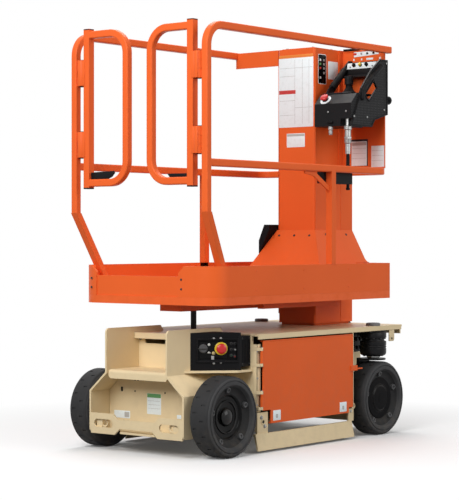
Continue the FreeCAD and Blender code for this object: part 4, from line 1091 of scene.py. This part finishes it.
class LIFT_OT_chassis_trim(bpy.types.Operator):
    """Build the door posts, kingpin caps, tie-down rings, holes and bolts of the chassis"""
    bl_idname = "lift.chassis_trim"
    bl_label = "Chassis trim"

    def execute(self, context):
        posts = Shape("door_posts", "chassis", "beige_paint")
        for way in SIDES.values():
            posts.add(block(28, 270, 3, 0.8), on_side(-332, 328, 297, way))
            posts.add(block(22, 270, 7.4, 0.8), on_rear(-340.3, 320 * way, 297))
            for z in (190, 297, 404):
                posts.add(round_screw(4, 2.4), sideward(-341, 331, z, way), "zinc_plate")
        posts.done()

        wall = Shape("rear_wall_trim", "chassis", "beige_paint")
        # the wall's holes and its slot are dark recesses and a dark plate: painted shade of the openings
        for left, up, radius in ((102, 284, 3.4), (86, 284, 3.4), (102, 239, 3.6), (-57, 240, 3.6)):
            wall.add(small_hole(radius), rearward(WALL_REAR - 0.2, left, up), "soft_black")
        wall.add(plate(11, 20, 0.7, 5), on_rear(WALL_REAR - 0.2, 173, 244), "soft_black")
        for x, left, up, high in ((-585, 199.8, 112, 5), (-585, 162, 112, 5), (-585, -162, 112, 5),
                                  (-585, -199.8, 112, 5), (-502, 146, 447, 6)):
            wall.add(hex_bolt(10, high), rearward(x, left, up), "zinc_plate")
        for way in SIDES.values():
            # tie-down ring and its lug behind each slot of the bumper
            wall.add(ring_eye(14, 4.5), rearward(-680, 178 * way, 114))
            wall.add(block(30, 46, 9, 1.5), forward(-689, 200 * way, 112))
        wall.done()

        deck = Shape("deck_trim", "chassis", "black_plastic")
        for way in SIDES.values():
            deck.add(lathe(CAP, 40), at((KINGPIN[0], KINGPIN[1] * way, 0)), "cap_grey")
        for left in (-70, 0, 70):
            deck.add(hex_bolt(13, 6), at((676, left, 472)), "dark_grey")
        deck.done()

        nose = Shape("front_trim", "chassis", "beige_paint")
        for way in SIDES.values():
            # folded tab under the corner of the deck, its hole a dark disc: painted shade of the hole
            nose.add(slab([(-20, -16), (14, -16), (20, -8), (20, 40), (-20, 40)], 5, 0.8, 3),
                     on_side(612, 338, 418, way))
            nose.add(disc(5, 0.7), sideward(612, 343, 414, way), "soft_black")
            nose.add(ring_eye(17, 4), forward(692.4, 88 * way, 128), "zinc_plate")
            nose.add(block(30, 22, 5, 1.5), forward(NOSE, 88 * way, 148))
            for up in (110, 250, 400):
                nose.add(hex_bolt(12, 5), forward(NOSE, 112 * way, up), "zinc_plate")
            # cast bosses and bracket bolts at the ends of the guards
            for x, up in ((-311, 122), (322, 138)):
                nose.add(lathe(GUARD_BOSS, 28), sideward(x, 335, up, way))
                nose.add(disc(6.4, 0.8, 20), sideward(x, 337, up, way), "soft_black")
            for x, up in ((-322, 140), (-300, 104), (300, 118)):
                nose.add(hex_bolt(11, 5), sideward(x, 336, up, way), "zinc_plate")
        nose.add(plate(90, 60, 0.8, 3), on_wall((NOSE + 0.1, 0, 330), (0, 1, 0)), "white_plate")
        nose.add(plate(88, 12, 1.0, 1), on_wall((NOSE + 0.1, 0, 352), (0, 1, 0)), "amber_band")
        nose.done()
        return {"FINISHED"}


# -------- steering
HEAD_SHELL = [
    (40, 341), (47, 342.4), (53, 346), (56.6, 351), (57.6, 357), (57.6, 374), (56, 375.4), (56, 377.6),
    (57.6, 379), (57.6, 384), (56, 385.4), (56, 387.6), (57.6, 389), (57.6, 403), (55, 406), (50, 407.6), (49, 412),
    (49, 420), (57.6, 421), (57.8, 423), (57.8, 441), (56, 444.2)]
HEAD_CAP = [(25, 332.3), (27.6, 333.4), (28, 336), (28, 341.4)]
FITTING = [(7, 0), (7, 10), (9, 11), (9, 20), (6, 21)]
KNUCKLE_BAND = [(53, 324.4), (54.6, 325.4), (54.6, 330.4), (53, 331.2)]


def round_kingpin(count, start, radius, way):
    """Points evenly round a kingpin: forward and left."""
    turns = [start + i * 2 * math.pi / count for i in range(count)]
    return [(KINGPIN[0] + radius * math.cos(turn), KINGPIN[1] * way + radius * math.sin(turn)) for turn in turns]


class LIFT_OT_steering(bpy.types.Operator):
    """Build the ringed steering heads, their valve blocks and the finned drive motors"""
    bl_idname = "lift.steering"
    bl_label = "Steering"

    def execute(self, context):
        x, left = KINGPIN
        heads = Shape("steering_rotors", "chassis", "black_steel")
        for way in SIDES.values():
            axis = at((x, left * way, 0))
            heads.add(lathe(HEAD_SHELL, 56), axis)
            heads.add(lathe(HEAD_CAP, 48), axis, "zinc_plate")
            for spot in round_kingpin(10, 0, 52.6, way):
                heads.add(hex_bolt(9, 6, False), at((*spot, 421), (0, 0, -1)), "dark_grey")
            for spot in round_kingpin(6, 0.3, 40, way):
                heads.add(round_screw(4, 3), at((*spot, 341.4), (0, 0, -1)), "dark_grey")
            heads.add(block(140, 213, 19.6, 1.6), at((x, 230.5 * way, 444.3)))
            # valve block with its fittings, inboard of the head
            heads.add(block(96, 62, 88, 3), at((x + 8, 186 * way, 354)), "gloss_black")
            for along in (-20, 8, 36):
                heads.add(hex_bolt(15, 8, False), sideward(x + along, 217, 372, way), "dark_grey")
                heads.add(lathe(FITTING, 18), sideward(x + along, 217, 412, way))
        heads.done(30, ["steering_heads"])

        for side, way in SIDES.items():
            arm = Shape(f"knuckle_band_{side}", f"knuckle_{side}", "zinc_plate")
            arm.add(lathe(KNUCKLE_BAND, 56), at((x, left * way, 0)), "black_steel")
            for up, along in product((300, 236), (-28, 28)):
                arm.add(hex_bolt(13, 6), at((x + along, 247.2 * way, up), (0, -way, 0)))
            arm.done()
            motor = Shape(f"motor_fins_{side}", f"knuckle_{side}", "zinc_plate")
            fins = []
            for i in range(5):
                fins += [(51.6, i * 8), (51.6, i * 8 + 4), (50.3, i * 8 + 4.6), (50.3, i * 8 + 7.4)]
            fins += [(51.6, 40), (51.6, 43.6), (49, 45.4), (20, 45.4), (18, 44.6)]
            motor.add(lathe(fins, 48), at((x, 246 * way, 159), (0, -way, 0)))
            motor.add(block(24, 30, 14, 2), at((x, 226 * way, 209)), "soft_black")
            motor.done()
        return {"FINISHED"}


# -------- doors
LATCH_ROD = [(3, 0), (3.4, 1), (3.4, 60), (2.6, 62)]
HINGE_TIP = [(4.6, 0), (4.6, 2), (2.6, 3.4), (0, 3.6)]
FOLD = 344.7  # the raised fold lies just proud of the skin


class LIFT_OT_doors(bpy.types.Operator):
    """Build the latch rod, hinge tips and folded edges of each battery door"""
    bl_idname = "lift.doors"
    bl_label = "Battery doors"

    def execute(self, context):
        for side, way in SIDES.items():
            trim = Shape(f"door_trim_{side}", f"door_{side}", "orange_paint")
            trim.add(lathe(LATCH_ROD, 16), forward(312, 347.4 * way, 297))
            trim.add(block(16, 12, 5, 1.4), on_side(316, 345, 297, way), "zinc_plate")
            for up in (245.5, 418.5):
                trim.add(lathe(HINGE_TIP, 14), at((-327, 342 * way, up)), "zinc_plate")
            trim.fit(block, ((618, 3.4, 1.6, 0.7), on_side(-3, FOLD, 443.6, way)),
                     ((3.4, 306, 1.6, 0.7), on_side(305.6, FOLD, 290, way)))
            trim.done()
        return {"FINISHED"}


# -------- platform trim
# Outlines of the dark strips that lie on the lower bar of each gate: to the right and up.
STRIPS = {
    "left": [(-257, 1091), (-257, 1120), (-136, 1124), (-130, 1116), (-146, 1100), (-166, 1092)],
    "right": [(257, 1091), (257, 1106), (148, 1106), (160, 1092)],
}
SKIRT_SLOPE = 156 / 285  # how fast the mast's cover flares
SKIRT_TOP, SKIRT_REAR, SKIRT_SIDE, SKIRT_FRONT = 890, 367, 104, 569
SEAT_LEFT = 308  # the middle of a slanting leg's foot
# The cover's side runs on to the mast's front, over the end of the floor: forward and up from its top.
FLANK = ((0, 0), (83, 0), (83, -145), (86, -154), (93, -161), (104, -164), (0, -164))
MAST_FRONT = 658
TOE_BOARD = 356
HINGE = (-675, 308)  # axis of the gate's hinge: forward and left
BARRELS = ((1180, 1285), (1470, 1575))
BARREL_CAP = [(15, 0), (15, 1.4), (13, 2.4), (6, 2.8)]


def round_hinge(radius, first, last, step):
    """Points round the left hinge's axis, from one angle in degrees up to another."""
    return [(HINGE[0] + radius * math.cos(math.radians(turn)), HINGE[1] + radius * math.sin(math.radians(turn)))
            for turn in range(first, last, step)]


# A hinge leaf wraps from the left post's rear face to the barrel.
LEAF = [(-689.8, 280), (-691.6, 280), (-692.4, 289), *round_hinge(21.6, 222, 156, -8), *round_hinge(19.2, 158, 232, 8),
        (-689.8, 289)]


class LIFT_OT_platform_trim(bpy.types.Operator):
    """Build the bolts, caps and seams of the platform, its rails and the mast"""
    bl_idname = "lift.platform_trim"
    bl_label = "Platform trim"

    def execute(self, context):
        trim = Shape("platform_trim", "platform", "orange_paint")
        for left, up in product((286, -190), (693, 656)):
            trim.add(round_screw(4.6, 2.6), rearward(-644, left, up), "dark_grey")
        # screws of the flared cover, on its rear and its sides
        for left in (-82, 0, 82):
            trim.add(round_screw(5, 2.6), at((SKIRT_REAR - (SKIRT_TOP - 866) * SKIRT_SLOPE, left, 866),
                                                (-1, 0, SKIRT_SLOPE)), "dark_grey")
        for way in SIDES.values():
            for x in (432, 588):
                left = (SKIRT_SIDE + (SKIRT_TOP - 870) * SKIRT_SLOPE) * way
                trim.add(round_screw(5.6, 2.6), at((x, left, 870), (0, way, SKIRT_SLOPE)), "dark_grey")
            side = on_wall((SKIRT_FRONT, SKIRT_SIDE * way, SKIRT_TOP), (-way, 0, 0), (0, -SKIRT_SLOPE * way, 1))
            trim.add(slab([(-x * way, up) for x, up in FLANK], 4), side @ Matrix.Translation((0, 0, -4)))
        for up, left in product(range(530, 1661, 226), (-86, 86)):
            trim.add(round_screw(5.4, 2.8), forward(MAST_FRONT, left, up), "zinc_plate")
        for way in SIDES.values():
            # folded seams where the front cover and the rear cover meet the column
            trim.add(block(3, 1204, 1.4, 0.5), on_side(567.6, 99.8, 1083, way))
            trim.add(block(10, 1140, 1.2, 0.5), on_side(378, 99.9, 1090, way))
            # feet of the slanting legs and their bolts
            trim.add(block(56, 56, 5, 1.2), at((-487, SEAT_LEFT * way, 605)))
            for x, left in product((-508, -466), (-21, 21)):
                trim.add(hex_bolt(10, 5), at((x, SEAT_LEFT * way + left, 610)), "zinc_plate")
            # joints of the toe board
            for x, up in product((-380, -60, 260), (650, 725)):
                trim.add(round_screw(4.4, 1.8), sideward(x, TOE_BOARD, up, way))
            trim.add(block(56, 30, 5, 1), on_side(149, TOE_BOARD - 12, 732, way))
        # dark stop bar over the panel and the clip on its top edge
        trim.add(block(86, 10, 7, 1.2), on_rear(577, -155, 1691), "black_plastic")
        trim.add(block(200, 5, 4, 1), on_rear(577, -214, 1683))
        # foot of the head bracket where it meets the mast
        trim.add(slab([(-99.5, -26), (-127, -58), (-99.5, -58)], 6), on_rear(377, 0, 1678))
        # top plate of the mast with its bolts
        trim.add(plate(180, 176, 3, 8), at((469, 0, 1689.6)))
        for x, left in product((400, 538), (-70, 70)):
            trim.add(hex_bolt(11, 4.4), at((x, left, 1692.4)), "zinc_plate")
        trim.done()

        for side, way in SIDES.items():
            gate = Shape(f"gate_trim_{side}", f"gate_{side}", "black_plastic")
            # caps of the post
            gate.fit(block, ((30.6, 30.6, 5.2, 1.4), at((HINGE[0], 272.5 * way, 1695))),
                     ((30.6, 30.6, 6, 1.4), at((HINGE[0], 272.5 * way, 1053.2))))
            for low, high in BARRELS:
                gate.add(slab([(x, left * way) for x, left in LEAF], high - low - 2, 0.5),
                         Matrix.Translation((0, 0, low + 1)), "orange_paint")
            gate.add(slab(STRIPS[side], 7, 0.8), on_rear(-671.5, 0, 0), "soft_black")
            gate.done()
        hinges = Shape("gate_hinge_trim", "platform", "black_plastic", "soft_black")
        for way, (low, high) in product(SIDES.values(), BARRELS):
            for up, facing in ((high, 1), (low, -1)):
                hinges.add(lathe(BARREL_CAP, 24), at((HINGE[0], HINGE[1] * way, up), (0, 0, facing)))
        hinges.done()
        return {"FINISHED"}


# -------- panel and start


class LIFT_PT_panel(bpy.types.Panel):
    """Lists the steps that dress the lift"""
    bl_idname = "LIFT_PT_panel"
    bl_label = "Lift"
    bl_space_type = "VIEW_3D"
    bl_region_type = "UI"
    bl_category = "Lift"

    def draw(self, context):
        for step in STEPS:
            self.layout.operator(step.bl_idname)


STEPS = (LIFT_OT_studio, LIFT_OT_finishes, LIFT_OT_tyres, LIFT_OT_hubs, LIFT_OT_ground_controls, LIFT_OT_console,
         LIFT_OT_cable, LIFT_OT_plates, LIFT_OT_chassis_trim, LIFT_OT_steering, LIFT_OT_doors,
         LIFT_OT_platform_trim)
GROUPS = {"lift_paint": LiftPaint, "lift_wheel": LiftWheel, "lift_studio": LiftStudio}


def register():
    for group in GROUPS.values():
        bpy.utils.register_class(group)
    for name, group in GROUPS.items():
        setattr(bpy.types.Scene, name, bpy.props.PointerProperty(type=group))
    for step in (*STEPS, LIFT_PT_panel):
        bpy.utils.register_class(step)


def unregister():
    for step in (LIFT_PT_panel, *reversed(STEPS)):
        bpy.utils.unregister_class(step)
    for name in GROUPS:
        delattr(bpy.types.Scene, name)
    for group in GROUPS.values():
        bpy.utils.unregister_class(group)


def main():
    register()
    for step in STEPS:
        getattr(bpy.ops.lift, step.bl_idname.split(".")[1])()


if __name__ == "__main__":
    main()
